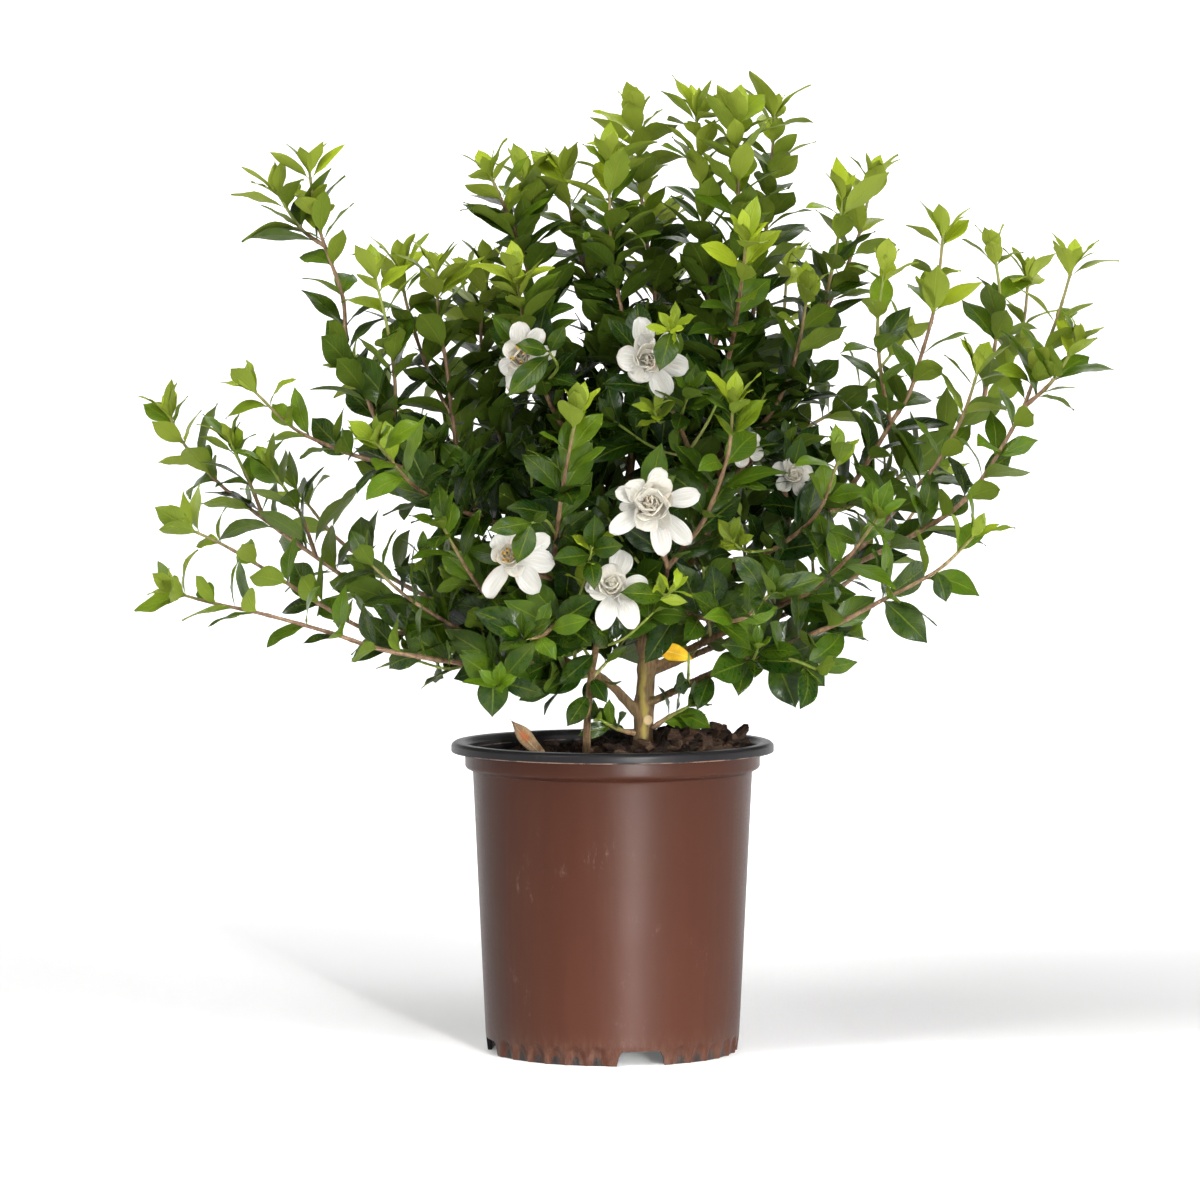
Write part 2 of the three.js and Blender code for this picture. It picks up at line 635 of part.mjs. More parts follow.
/** Every blade of a stem: pairs all along it and a tuft at its tip. */
function bladesOf(route, seed, size, owner) {
  const curve = routeCurve(route);
  const pairs = Math.max(1, Math.round(curve.getLength() / LEAF.gap));
  const blades = [];
  for (let k = 0; k < 2 * pairs + SHOOT.tuft; k += 1) {
    const draw = draws(seed + k);
    const pair = Math.floor(k / 2);
    const inTuft = pair >= pairs;
    const t = inTuft ? 0.985 : (pair + 0.5) / pairs;
    const turn = inTuft ? (k - 2 * pairs) * 160 : pair * 90 + (k % 2) * 180;
    const azimuth = (turn + between(draw, -25, 25)) * DEGREE;
    const blade = leafBlade(curve, t, azimuth, draw, size * (inTuft ? 0.72 : 1.12 - 0.25 * t));
    if (inTuft) blade.lift *= 0.5;
    const clear = clearBlade(blade, owner);
    if (!clear) continue;
    const shape = bladeSolid(clear);
    take(owner, shape);
    blades.push(shape);
  }
  return blades;
}

/** A bloom: outer petals laid out by hand round a cup and a heart of petals that curl in. */
function bloomSolid({ centre, facing, petals, cup, heart }, seed) {
  const draw = draws(seed);
  const axis = point(facing).normalize();
  const [left, down] = squareTo(axis, UP);
  const petal = (clock, length, width, lift, bend, fold) => {
    const turn = clock * DEGREE;
    const out = left.clone().multiplyScalar(-Math.sin(turn)).addScaledVector(down, -Math.cos(turn));
    return bladeSolid({
      root: point(centre), along: axis, out, length, width: width / length,
      lift: lift * DEGREE, bend: bend * DEGREE, roll: 13 * DEGREE, fold,
      thickness: PETAL_THICKNESS, rows: 2, outline: petalOutline,
    });
  };
  const ring = ([count, length], lift, fold) => {
    const start = between(draw, 0, 360);
    const clocks = Array.from({ length: count }, (_, k) => start + ((k + between(draw, -0.1, 0.1)) * 360) / count);
    return clocks.map((clock) => petal(clock, length, 0.95 * length, lift, -26, fold));
  };
  const outer = petals.map(([clock, length, width]) => {
    const lift = between(draw, 70, 82);
    return petal(clock, length, width, lift, 20, 0.12);
  });
  const receptacle = new THREE.SphereGeometry(RECEPTACLE, 6, 4).translate(...centre);
  return joined([solid(receptacle), ...outer, ...ring(cup, 56, 0.22), ...ring(heart, 32, 0.32)]);
}

// ---------------------------------------------------------------- loose and single leaves

const YELLOW_LEAF = {
  root: [32, -3, 299], tip: [60, -20, 293], width: 0.46, bend: 35, facing: [0, -1, 0.5],
};
const DRY_LEAF = { root: [-46, 30, 212], tip: [-77, 22, 246], width: 0.34, bend: -30, facing: [0.4, -1, 0.6] };

/** A single leaf from its root to its tip, arched over its run, its upper side turned to `facing`. */
function singleLeaf({ root, tip, width, bend, facing }, air = 0) {
  const run = point(tip).sub(point(root));
  const length = run.length();
  const along = run.normalize();
  const out = point(facing).negate();
  out.addScaledVector(along, -out.dot(along)).normalize();
  return bladeSolid({
    root: point(root), along, out, length, width,
    lift: -0.5 * bend * DEGREE, bend: bend * DEGREE, roll: 0.25, fold: 0.3,
    thickness: LEAF.thickness + 2 * air, extra: 1.5 * air, rows: 5, outline: leafOutline,
  });
}

/** The large leaves of a shoot, rooted in its stems. */
function largeLeaves(name, stems) {
  const leaves = LARGE_LEAVES[name.replace('shoot_', '')] ?? [];
  return leaves.map(({ stem, at, tip, width }) => {
    const root = routeCurve(stems[stem]).getPoint(at).toArray();
    return singleLeaf({ root, tip, width, ...HANGING });
  });
}

// ---------------------------------------------------------------- colours

const matter = (color, roughness) => new THREE.MeshStandardMaterial({ color, roughness, metalness: 0 });
const COLOURS = {
  pot: matter(0x6e4637, 0.42),
  mix: matter(0x2d1c13, 0.95),
  bark: matter(0x8a6a45, 0.85),
  leaf: matter(0x4f7a28, 0.4),
  petal: matter(0xf5f3eb, 0.6),
  yellow: matter(0xebb41e, 0.5),
  dry: matter(0xa08a63, 0.85),
};

// ---------------------------------------------------------------- the whole plant

const plant = new THREE.Group();
plant.name = 'potted_gardenia';

const wood = joined(LIMBS.map((limb) => limbSolid(limb)));
const secondStem = limbSolid(SECOND_STEM);
const woodWithAir = joined([...LIMBS, SECOND_STEM].map((limb) => limbSolid(limb, GAP)));
const potShape = pot();
const mixShape = mix([limbSolid(LIMBS[0], GAP), limbSolid(SECOND_STEM, GAP)]);
take('pot', potShape);
take('mix', mixShape);
take('wood', wood);
take('second stem', secondStem);

const blooms = Object.entries(BLOOMS).map(([name, bloom], k) => {
  const shape = bloomSolid(bloom, 7000 + k);
  take(name, shape);
  return [name, shape];
});

/** A bloom's own shoot: its last stretch runs straight to the middle of the petals. */
function carrierRoute({ centre, facing, route }) {
  const axis = point(facing).normalize();
  const behind = (distance) => point(centre).addScaledVector(axis, -distance).toArray();
  return [...route, behind(26), behind(RECEPTACLE + GAP)];
}

const carriers = Object.entries(BLOOMS).map(([name, bloom]) => [
  name.replace('bloom', 'shoot_bloom'), [carrierRoute(bloom)],
]);
const shoots = [...Object.entries(SHOOTS).map(([name, stems]) => [`shoot_${name}`, stems]), ...carriers];

let stemsWithAir = woodWithAir;
const stemShapes = shoots.map(([name, stems]) => {
  const thickness = (k) => (k === 0 ? SHOOT.thick : SHOOT.forkThick);
  const stem = (route, k, air) => stemSolid(route, thickness(k), SHOOT.thin, SHOOT.sides, air);
  const whole = (air) => joined(stems.map((route, k) => stem(route, k, air)));
  const shape = largestBody(whole(0).subtract(stemsWithAir));
  stemsWithAir = stemsWithAir.add(whole(GAP));
  take(name, shape);
  return shape;
});

const yellowLeaf = largestBody(singleLeaf(YELLOW_LEAF).subtract(stemsWithAir));
take('yellow leaf', yellowLeaf);

const hanging = shoots.map(([name, stems]) => {
  const leaves = largeLeaves(name, stems);
  leaves.forEach((leaf) => take(name, leaf));
  return leaves;
});

const shootShapes = shoots.map(([name, stems], k) => {
  const size = LEAF_SIZES[name.replace('shoot_', '')] ?? 1;
  const blades = stems.flatMap((route, fork) => bladesOf(route, SEED + 1000 * k + 100 * fork, size, name));
  return largestBody(joined([stemShapes[k], ...hanging[k], ...blades]));
});

const dryLeaf = singleLeaf(DRY_LEAF);
const dryLeafWithAir = singleLeaf(DRY_LEAF, GAP);

plant.add(namedMesh('pot', potShape, COLOURS.pot));
plant.add(namedMesh('soil', largestBody(mixShape.subtract(dryLeafWithAir)), COLOURS.mix));
plant.add(namedMesh('dry_leaf', dryLeaf, COLOURS.dry));
plant.add(namedMesh('trunk', wood, COLOURS.bark));
plant.add(namedMesh('second_stem', secondStem, COLOURS.bark));
plant.add(namedMesh('yellow_leaf', yellowLeaf, COLOURS.yellow));
blooms.forEach(([name, shape]) => plant.add(namedMesh(name, shape, COLOURS.petal)));
shoots.forEach(([name], k) => plant.add(namedMesh(name, shootShapes[k], COLOURS.leaf)));

export default plant;
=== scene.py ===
"""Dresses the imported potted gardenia: pot, bark mulch, woody limbs, leafy shoots and blooms.

Lengths below are millimetres, as in the part's source, and MM turns them into metres.
"""
import math

import bmesh
import bpy
import numpy as np
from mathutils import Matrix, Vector, noise


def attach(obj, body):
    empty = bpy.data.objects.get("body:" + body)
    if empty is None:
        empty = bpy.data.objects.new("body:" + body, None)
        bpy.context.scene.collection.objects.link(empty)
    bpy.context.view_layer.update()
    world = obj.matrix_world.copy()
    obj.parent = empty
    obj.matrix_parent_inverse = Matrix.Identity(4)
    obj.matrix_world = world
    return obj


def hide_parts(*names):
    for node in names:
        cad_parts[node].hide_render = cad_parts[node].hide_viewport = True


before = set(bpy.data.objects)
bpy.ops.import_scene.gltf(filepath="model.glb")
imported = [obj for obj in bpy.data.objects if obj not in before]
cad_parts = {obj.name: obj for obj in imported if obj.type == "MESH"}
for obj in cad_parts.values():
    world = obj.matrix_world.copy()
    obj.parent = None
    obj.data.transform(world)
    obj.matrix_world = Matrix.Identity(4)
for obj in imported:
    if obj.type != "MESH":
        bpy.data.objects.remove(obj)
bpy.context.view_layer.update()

MM = 0.001
UP = np.array([0.0, 0.0, 1.0])
DEGREE = math.pi / 180

# Seeds of the draws; the first and the blooms' are the solids' own.
LEAF_SEED = 2
BLOOM_SEED = 7000
EXTRA_PETAL_SEED = 500
FINE_LEAF_SEED = 50_000
SHOOT_DETAIL_SEED = 60_000
TWIG_SEED = 90_000
TWIG_LEAF_SEED = 95_000
HANGING_LEAF_SEED = 3
MULCH_SEED = 41

# ---- sizes shared with the solids

POT_HEIGHT = 231.0
LIP_RADIUS = 120.0
LIP_DROP = 7.5
COLLAR_RADIUS = 109.7
COLLAR_BOTTOM = 212.0
SHOULDER_RADIUS = 104.0
SHOULDER = 208.0
FOOT_RADIUS = 93.0
FOOT_WALL = 3.4
WALL = 1.8
POT_FLOOR = 14.0
NOTCH_FIRST = -77.0  # degrees round the pot from +X
NOTCH_WIDTH = 37.0
NOTCH_HEIGHT = 11.0
DRAIN_RING = 66.0
DRAIN_RADIUS = 6.0

MIX_LOW = 215.0
MIX_HEAP = 19.0

LEAF_LENGTH = 46.0
LEAF_WIDTH = 0.42
LEAF_FOLD = 0.22
LEAF_PAIR_GAP = 150.0
TUFT_LEAVES = 2
TUFT_AT = 0.985
TUFT_TURN = 160  # degrees between two leaves of a tuft
TUFT_SIZE = 0.72
STEM_RADIUS = 2.0
FORK_RADIUS = 1.6
TIP_RADIUS = 1.0
STALK_END = 2.6  # radius of a stem under its bloom
RECEPTACLE = 6.0

# Each limb is [radius at its foot, radius at its end, route], the trunk first.
LIMBS = [
    [8, 6.6, [[22, 0, 183], [23, 0, 240], [24, 1, 264], [26, 0, 292]]],
    [5.2, 2.4, [[26, 0, 288], [14, 6, 335], [8, 10, 385], [14, 10, 440], [19, 6, 495]]],
    [3.4, 2.1, [[8, 10, 385], [-14, 16, 430], [-34, 16, 480], [-52, 10, 535]]],
    [5.6, 2.4, [[26, 0, 288], [42, 8, 330], [64, 12, 370], [76, 8, 415], [78, 4, 465], [75, 0, 520]]],
    [3.6, 2.2, [[18, -2, 252], [0, -6, 272], [-22, -10, 286], [-50, -16, 297], [-85, -18, 306],
        [-126, -10, 318]]],
    [2.6, 2, [[-40, -14, 294], [-74, -40, 289], [-105, -62, 292]]],
    [3, 2.2, [[9, 10, 380], [-50, 5, 385], [-98, -5, 396], [-140, -10, 420]]],
    [3, 2.1, [[24, -2, 258], [60, -16, 276], [94, -34, 292], [125, -52, 304]]],
    [3.2, 2.2, [[26, 0, 284], [70, -6, 306], [112, -14, 328], [150, -24, 352]]],
    [3, 2.1, [[52, 10, 350], [92, 0, 362], [132, -10, 382], [160, -20, 404]]],
    [2.6, 2.1, [[77, 7, 430], [94, 14, 446], [110, 20, 464]]],
    [3, 2.1, [[11, 8, 360], [-25, 58, 395], [-60, 105, 430]]],
    [3, 2.1, [[60, 12, 362], [75, 62, 400], [95, 115, 440]]],
    [2.8, 2, [[26, 2, 286], [15, 56, 310], [0, 112, 325]]],
    [2.8, 2, [[28, 0, 282], [80, 45, 300], [130, 85, 320]]],
    [2.4, 2, [[-22, -10, 286], [-70, 40, 305], [-120, 80, 325]]],
    [2.8, 2, [[34, 4, 310], [35, -45, 335], [40, -85, 365]]],
    [2.6, 2, [[16, 5, 330], [-18, -35, 345], [-45, -70, 355]]],
    [2.4, 1.9, [[75, 8, 405], [60, -35, 440], [45, -70, 475]]],
]
SECOND_STEM = [3.3, 2.2, [[-19, -22, 190], [-19, -24, 238], [-17, -30, 272], [-12, -50, 305],
    [-8, -75, 325]]]

# A shoot is a list of stems: the first grows from the wood, the others fork from it.
SHOOTS = {
    "left_tall": [
        [[-140, -10, 420], [-166, -12, 452], [-184, -8, 492], [-197, 0, 522], [-200, 5, 560],
            [-214, 8, 600], [-221, 9, 625], [-225, 10, 655]],
        [[-213, 8, 598], [-232, 16, 612], [-248, 20, 636]],
        [[-166, -12, 452], [-160, -28, 490], [-165, -34, 535], [-174, -36, 574]],
    ],
    "left_crumpled": [
        [[-138, -11, 418], [-152, -32, 434], [-184, -45, 443], [-208, -52, 452], [-235, -56, 466],
            [-262, -58, 492]],
    ],
    "left_far": [
        [[-126, -10, 318], [-158, 5, 332], [-186, 20, 343], [-222, 38, 366], [-262, 52, 394],
            [-296, 64, 420], [-322, 72, 448], [-334, 74, 470]],
        [[-262, 52, 394], [-272, 50, 420], [-286, 48, 450]],
        [[-222, 38, 366], [-234, 30, 400], [-254, 24, 432]],
    ],
    "left_level": [
        [[-124, -10, 318], [-150, -30, 314], [-180, -40, 316], [-216, -46, 336], [-250, -48, 358],
            [-284, -46, 378], [-310, -42, 390]],
    ],
    "left_lowest": [
        [[-104, -62, 292], [-136, -78, 298], [-172, -92, 306], [-205, -104, 318], [-252, -116, 332],
            [-290, -124, 341], [-314, -128, 348]],
        [[-74, -40, 289], [-82, -56, 290], [-88, -70, 290]],
    ],
    "left_lower": [
        [[-85, -18, 306], [-98, -38, 310], [-120, -60, 322], [-150, -72, 342], [-176, -78, 366]],
    ],
    "left_upright": [
        [[-98, -5, 396], [-112, -10, 430], [-118, -14, 470], [-122, -16, 505], [-128, -18, 545],
            [-130, -20, 580]],
        [[-118, -14, 470], [-138, 0, 510], [-152, 10, 552], [-158, 14, 582]],
    ],
    "left_inner": [[[-54, 5, 385], [-72, 12, 430], [-92, 18, 480], [-98, 22, 530], [-94, 26, 582]]],
    "left_front": [[[-75, 0, 390], [-104, -60, 402], [-140, -115, 422], [-168, -160, 456]]],
    "left_centre": [[[-50, -16, 297], [-78, -58, 326], [-102, -96, 358], [-122, -128, 395]]],
    "top_left": [
        [[-52, 10, 535], [-64, 4, 585], [-76, -2, 618], [-90, -6, 650]],
        [[-64, 4, 585], [-62, 22, 615], [-65, 34, 648]],
    ],
    "top_fork": [
        [[19, 6, 495], [4, 12, 530], [-12, 18, 565], [-26, 22, 598], [-36, 24, 652]],
        [[19, 6, 496], [8, -6, 545], [0, -10, 590], [-2, -12, 625], [-3, -12, 660]],
    ],
    "top_middle": [[[19, 5, 490], [32, 22, 545], [26, 32, 600], [20, 36, 650], [18, 36, 694]]],
    "top_twin": [
        [[75, 0, 520], [71, 2, 565], [68, 4, 600], [65, 6, 650], [62, 6, 696]],
        [[75, 0, 521], [86, -14, 560], [92, -20, 610], [92, -24, 660], [90, -24, 690]],
    ],
    "top_right": [[[78, 4, 470], [100, 20, 530], [112, 30, 590], [118, 34, 650], [121, 36, 698]]],
    "top_front": [[[77, 3, 482], [86, -42, 520], [92, -82, 560], [96, -108, 600]]],
    "top_left_front": [[[-20, 16, 444], [-44, -26, 478], [-62, -64, 530], [-70, -84, 575]]],
    "right_tall": [
        [[110, 20, 464], [134, 24, 504], [150, 30, 532], [163, 36, 558], [174, 40, 580],
            [186, 44, 612], [194, 46, 646]],
        [[150, 30, 532], [158, 6, 560], [166, -6, 600], [170, -12, 632]],
    ],
    "right_upright": [
        [[160, -20, 404], [176, -30, 422], [190, -38, 444], [204, -44, 468], [217, -50, 490],
            [225, -54, 516], [234, -56, 548], [238, -58, 575], [241, -60, 606]],
        [[204, -44, 468], [196, -72, 500], [192, -86, 540], [196, -94, 578]],
    ],
    "right_back": [
        [[158, -19, 403], [198, 10, 416], [222, 35, 432], [250, 60, 452], [280, 80, 480],
            [300, 92, 505], [312, 98, 540], [316, 100, 576]],
        [[280, 80, 480], [288, 72, 520], [292, 68, 560], [288, 66, 592]],
    ],
    "right_inner": [
        [[150, -24, 352], [184, -34, 378], [214, -44, 412], [238, -54, 440], [256, -62, 475],
            [266, -66, 506]],
    ],
    "right_far": [
        [[148, -24, 351], [184, -48, 368], [218, -62, 386], [246, -72, 404], [264, -76, 422],
            [282, -80, 450], [298, -82, 480], [308, -84, 508], [322, -86, 545], [334, -88, 586]],
        [[298, -82, 480], [318, -98, 500], [334, -106, 526]],
    ],
    "right_low": [
        [[125, -52, 304], [140, -62, 312], [168, -78, 325], [196, -92, 341], [218, -102, 353],
            [238, -110, 366], [260, -116, 388]],
    ],
    "right_drooping": [[[94, -34, 292], [112, -52, 298], [132, -72, 296], [148, -84, 290]]],
    "right_front": [[[112, -14, 328], [142, -70, 345], [168, -125, 372], [188, -172, 404]]],
    "right_centre": [[[94, 0, 363], [118, -50, 376], [148, -96, 404], [162, -130, 444]]],
    "right_middle": [[[94, 14, 446], [120, -15, 480], [135, -42, 520], [142, -60, 562]]],
    "front_low": [[[35, -45, 335], [66, -98, 328], [92, -143, 330], [111, -182, 350]]],
    "front_high": [[[40, -84, 364], [66, -106, 400], [82, -128, 445], [86, -140, 482]]],
    "front_left": [[[-44, -69, 355], [-40, -106, 395], [-34, -136, 436], [-26, -152, 476]]],
    "front_down": [[[-20, -36, 345], [-36, -86, 330], [-50, -134, 318], [-64, -176, 318]]],
    "back_left_high": [
        [[-60, 105, 430], [-85, 125, 470], [-105, 145, 520], [-115, 158, 572]],
        [[-60, 105, 430], [-102, 120, 442], [-150, 138, 466], [-198, 150, 502]],
    ],
    "back_right_high": [
        [[95, 115, 440], [115, 135, 480], [130, 155, 530], [135, 166, 582]],
        [[95, 115, 440], [138, 130, 456], [185, 145, 484], [224, 155, 528]],
    ],
    "back_middle": [[[0, 112, 325], [-10, 144, 350], [-15, 168, 385], [-15, 180, 422]]],
    "back_right_low": [[[130, 85, 320], [175, 115, 340], [215, 140, 374], [248, 155, 418]]],
    "back_left_low": [[[-120, 80, 325], [-165, 110, 345], [-210, 135, 375], [-244, 150, 414]]],
    "back_low": [[[18, 52, 308], [50, 108, 340], [75, 148, 370], [88, 176, 412]]],
    "back_top": [[[74, 60, 398], [60, 105, 450], [45, 132, 510], [38, 145, 570], [35, 150, 618]]],
    "sprout_left": [[[16, -4, 237], [4, -16, 241], [-8, -26, 248]]],
    "sprout_right": [[[30, -4, 241], [42, -12, 250], [56, -20, 258]]],
}
LEAF_SIZES = {"sprout_left": 0.6, "sprout_right": 0.62}

# Single leaves that hang in view, larger than the rest: the stem that carries each one, the
# place along it, the tip, and the width as a share of the length.
LARGE_LEAVES = {
    "left_lowest": [{"stem": 1, "at": 0.97, "tip": [-88, -80, 254], "width": 0.6}],
    "right_low": [{"stem": 0, "at": 0.5, "tip": [228, -106, 310], "width": 0.5}],
    "right_drooping": [
        {"stem": 0, "at": 0.43, "tip": [134, -68, 260], "width": 0.6},
        {"stem": 0, "at": 0.72, "tip": [155, -84, 277], "width": 0.56},
    ],
    "front_low": [{"stem": 0, "at": 0.14, "tip": [23, -64, 292], "width": 0.38}],
}
HANGING = {"bend": 35, "facing": [0.1, -1, 0.25]}

# Blooms: where each one's middle is and where it faces; its outer petals as [clock angle seen
# from the front, length, width]; its cup and heart as [petals, length]; its shoot's route; how far
# round its middle no fine leaf lies in front of it; its stamens.
BLOOMS = {
    "bloom_middle": {
        "centre": [27, -146, 413], "facing": [0.05, -1, 0.12], "cup": [5, 21], "heart": [3, 13],
        "petals": [[16, 28, 14], [80, 36, 15], [136, 41, 15], [165, 39, 14], [235, 36, 14], [262, 23, 9],
            [288, 27, 13]],
        "route": [[40, -84, 364]], "open": 26,
    },
    "bloom_left": {
        "centre": [-73, -128, 373], "facing": [-0.15, -1, 0.25], "cup": [4, 14], "heart": [2, 9],
        "petals": [[18, 28, 16], [62, 32, 15], [96, 32, 17], [139, 33, 19], [209, 33, 20], [330, 22, 17]],
        "route": [[-44, -69, 355]], "open": 20, "stamens": 6,
    },
    "bloom_low": {
        "centre": [-1, -130, 352], "facing": [0.1, -1, 0.35], "cup": [4, 16], "heart": [3, 11],
        "petals": [[20, 31, 19], [88, 27, 16], [152, 35, 17], [174, 22, 13], [194, 33, 15], [270, 19, 15]],
        "route": [[-8, -74, 324]], "open": 20,
    },
    "bloom_high": {
        "centre": [25, -114, 516], "facing": [0.1, -1, 0.05], "cup": [4, 17], "heart": [3, 12],
        "petals": [[51, 27, 16], [103, 30, 18], [153, 31, 17], [215, 19, 16], [273, 23, 18], [350, 31, 18]],
        "route": [[45, -69, 474]], "open": 19,
    },
    "bloom_upper_left": {
        "centre": [-65, -122, 517], "facing": [-0.1, -1, 0.1], "cup": [4, 15], "heart": [2, 10],
        "petals": [[35, 25, 13], [80, 25, 12], [164, 27, 10], [204, 26, 11], [238, 19, 14], [355, 26, 16]],
        "route": [[-38, 15, 490], [-48, -40, 496]], "open": 16, "stamens": 4,
    },
    "bloom_right": {
        "centre": [131, -62, 430], "facing": [0.2, -1, 0.3], "cup": [4, 12], "heart": [2, 8],
        "petals": [[10 + 72 * k, 16, 12] for k in range(5)],
        "route": [[132, -10, 382]], "open": 6,
    },
    "bloom_inner": {
        "centre": [96, -70, 450], "facing": [-0.2, -1, 0.4], "cup": [3, 11], "heart": [2, 7],
        "petals": [[40 + 72 * k, 15, 11] for k in range(5)],
        "route": [[76, 8, 415]], "open": 6,
    },
}

# ---- sizes and places of the dressing

BUSH_MIDDLE = np.array([20.0, 0.0, 430.0])
BUSH_HALF = np.array([300.0, 190.0, 250.0])

LEAF_THICKNESS = 0.45
DYING_LEAF_THICKNESS = 0.5
PETAL_THICKNESS = 0.7

SPACING = 17.0  # between two whorls of leaves along a stem
BARE_SPACING = 90.0  # on a stem that is nearly bare
SPARSE = {  # shoots with other spaces between their whorls of leaves
    "left_far": 23, "left_level": 25, "left_lowest": 27, "left_lower": 25, "left_crumpled": 21,
    "left_tall": 20, "right_far": 24, "right_low": 33, "right_inner": 28, "right_back": 26,
    "right_tall": 22, "right_upright": 23, "right_drooping": BARE_SPACING, "back_left_low": 32,
    "back_right_low": 42, "back_right_high": 32, "back_left_high": 22, "top_fork": 11,
    "top_middle": 11, "top_twin": 12, "top_right": 12, "top_left": 13, "back_top": 11,
    "left_inner": 12, "right_middle": 21, "top_left_front": 13, "front_low": 25, "front_down": 25,
    "right_front": 27, "left_front": 21, "left_centre": 23, "right_centre": 27, "front_left": 20,
    "front_high": 20,
}

# Boxes that no fine leaf enters: in front of the trunk's foot, and of the yellow leaf.
FAR = 1000
CLEAR_BOXES = [((4, -FAR, -FAR), (44, 4, 296)), ((22, -FAR, 280), (68, -2, 312))]
BLOOM_CLEARANCE = (-8, 90)  # from behind a bloom's middle to in front of it

# Small bright sprouts beside the blooms, by the shoot that each one forks from.
SPROUTS = {
    "bloom_high": [
        [[30, -86, 516], [44, -112, 536], [40, -136, 536]],
        [[42, -74, 476], [34, -100, 470], [29, -122, 480]],
    ],
    "bloom_low": [[[4, -112, 345], [28, -128, 342], [45, -148, 352]]],
    "right_centre": [[[118, -50, 376], [98, -85, 376], [86, -104, 384]]],
    "front_down": [[[-36, -86, 330], [-24, -112, 346], [-14, -130, 383]]],
}

# Dark leaves in front of and across the blooms, by shoot: the twig that carries them, whether it
# is a new one, and each leaf's place on it, its tip and its width as a share of its length.
CROSSING = {
    "front_down": [(SPROUTS["front_down"][0], False, [
        (0.97, [-13, -146, 406], 0.52), (0.9, [-44, -146, 373], 0.46), (0.94, [8, -148, 383], 0.5),
        (0.86, [-13, -152, 351], 0.4),
    ])],
    "front_left": [([[-41, -98, 388], [-48, -126, 400], [-59, -147, 399]], True, [
        (0.98, [-69, -160, 370], 0.5), (0.94, [-90, -158, 394], 0.42), (0.9, [-46, -156, 408], 0.4),
    ])],
    "bloom_low": [(SPROUTS["bloom_low"][0], False, [(0.75, [4, -160, 350], 0.42)])],
    "bloom_high": [(SPROUTS["bloom_high"][0], False, [(0.85, [33, -154, 507], 0.44)])],
    "bloom_upper_left": [([[-49, -56, 498], [-40, -108, 510], [-46, -146, 522]], True, [
        (0.98, [-70, -156, 527], 0.5), (0.92, [-76, -158, 489], 0.38), (0.95, [-34, -158, 541], 0.42),
    ])],
}

# A leaf that hangs like the large ones, but is too small for the solids.
SCENE_LEAVES = {"right_low": [{"stem": 0, "at": 0.8, "tip": [241, -112, 340], "width": 0.55}]}

# Leaves that hang from the low limbs: the limb's number, none for the second stem; place; tip.
HANGING_LEAVES = [
    (None, 0.47, [-34, -34, 244]), (None, 0.56, [-4, -44, 262]), (None, 0.7, [-40, -52, 276]),
    (4, 0.28, [-22, -24, 262]), (4, 0.4, [-52, -34, 268]), (4, 0.52, [-70, -40, 280]),
    (4, 0.2, [2, -30, 276]), (7, 0.45, [62, -36, 256]), (7, 0.7, [92, -56, 268]),
    (7, 0.3, [44, -24, 270]), (7, 0.6, [88, -40, 296]), (5, 0.4, [-72, -62, 270]),
]
TWIG_GAP = 23.0
LOWEST_TWIG = 266.0
BARE_RIGHT = 35.0  # to the right of this the limbs below BARE_TOP carry few twigs
BARE_TOP = 410.0
TWIG_LENGTHS = (42, 78)

YELLOW_LEAF = {
    "root": [32, -3, 299], "tip": [60, -20, 293], "width": 0.38, "bend": 35, "facing": [0, -1, 0.5],
}
YELLOW_STALK = [27, -4.5, 289]
DRY_LEAF = {
    "root": [-46, 30, 212], "tip": [-77, 22, 246], "width": 0.34, "bend": -30, "facing": [0.4, -1, 0.6],
}

# The blooms' inner rings of petals: lift, bend, fold and how far into the bloom. The solids' two
# rings come first. The scene's follow, as petals more than the ring they repeat, length as a share
# of its length, those four, and looseness.
SOLID_RINGS = {"cup": (56, -26, 0.22, 0.3), "heart": (32, -26, 0.32, 0.6)}
SCENE_RINGS = [
    ("cup", -1, 1.12, (66, 14, 0.16, 0.2), 1.7),
    ("cup", 0, 0.95, (46, -30, 0.3, 0.4), 1.4),
    ("heart", 2, 1.05, (24, -30, 0.4, 0.65), 1.3),
    ("heart", 1, 0.8, (12, -26, 0.5, 0.85), 1.2),
]

POT_SIDES = 360
CORNER = 1.0  # radius of the pot's rounded corners
WIDEST_RING = 6.0  # longest stretch between two rings of the pot
HEEL_RING = 1.4  # the same in its fluted heel
OUTSIDE, INSIDE = 0, 1  # the pot's two plastics
BLACK_FROM = COLLAR_BOTTOM + 11.2
RIM_LINE = 223.8  # height of the scuffed line under the lip
FLUTE_TOP = 17.0
FLUTE_FIELD = 30  # degrees to each side of the middle between two notches
FLUTE_STEP = 10  # degrees from one flute to the next
FLUTE_DEPTH = 2.5
FLUTE_HALF = 0.44  # of its width, as a share of the step
SHARP_EDGE = 35  # degrees; edges of the pot that turn more stay sharp

STEMS_IN_MIX = [(22.5, 0.0, 8.6), (-19.0, -24.0, 3.7)]  # x, y and the radius kept clear of chips
MIX_SIDES = 220
CHIPS = 1500
CHIP_CORNERS = 7
CHIP_SPANS = ((8, 24), (4, 11), (1.6, 4.2))  # length, width, thickness
BIG_FLAKES = 46  # heaped on the right
MARKED_CHIPS = [(47, -68), (90, -20), (72, -56), (60, -40)]  # the pale flakes at the front right

KNOT = (26.5, -6.6, 247.0)  # the pruned twig's scar
STREAK = 23.5  # x of the olive streak up the trunk's front
BARK_CELL = 0.95  # the skin's cells
THIN_BARK_CELL = 0.6
SCARS = (262, 284)  # heights of the old leaf scars round the trunk

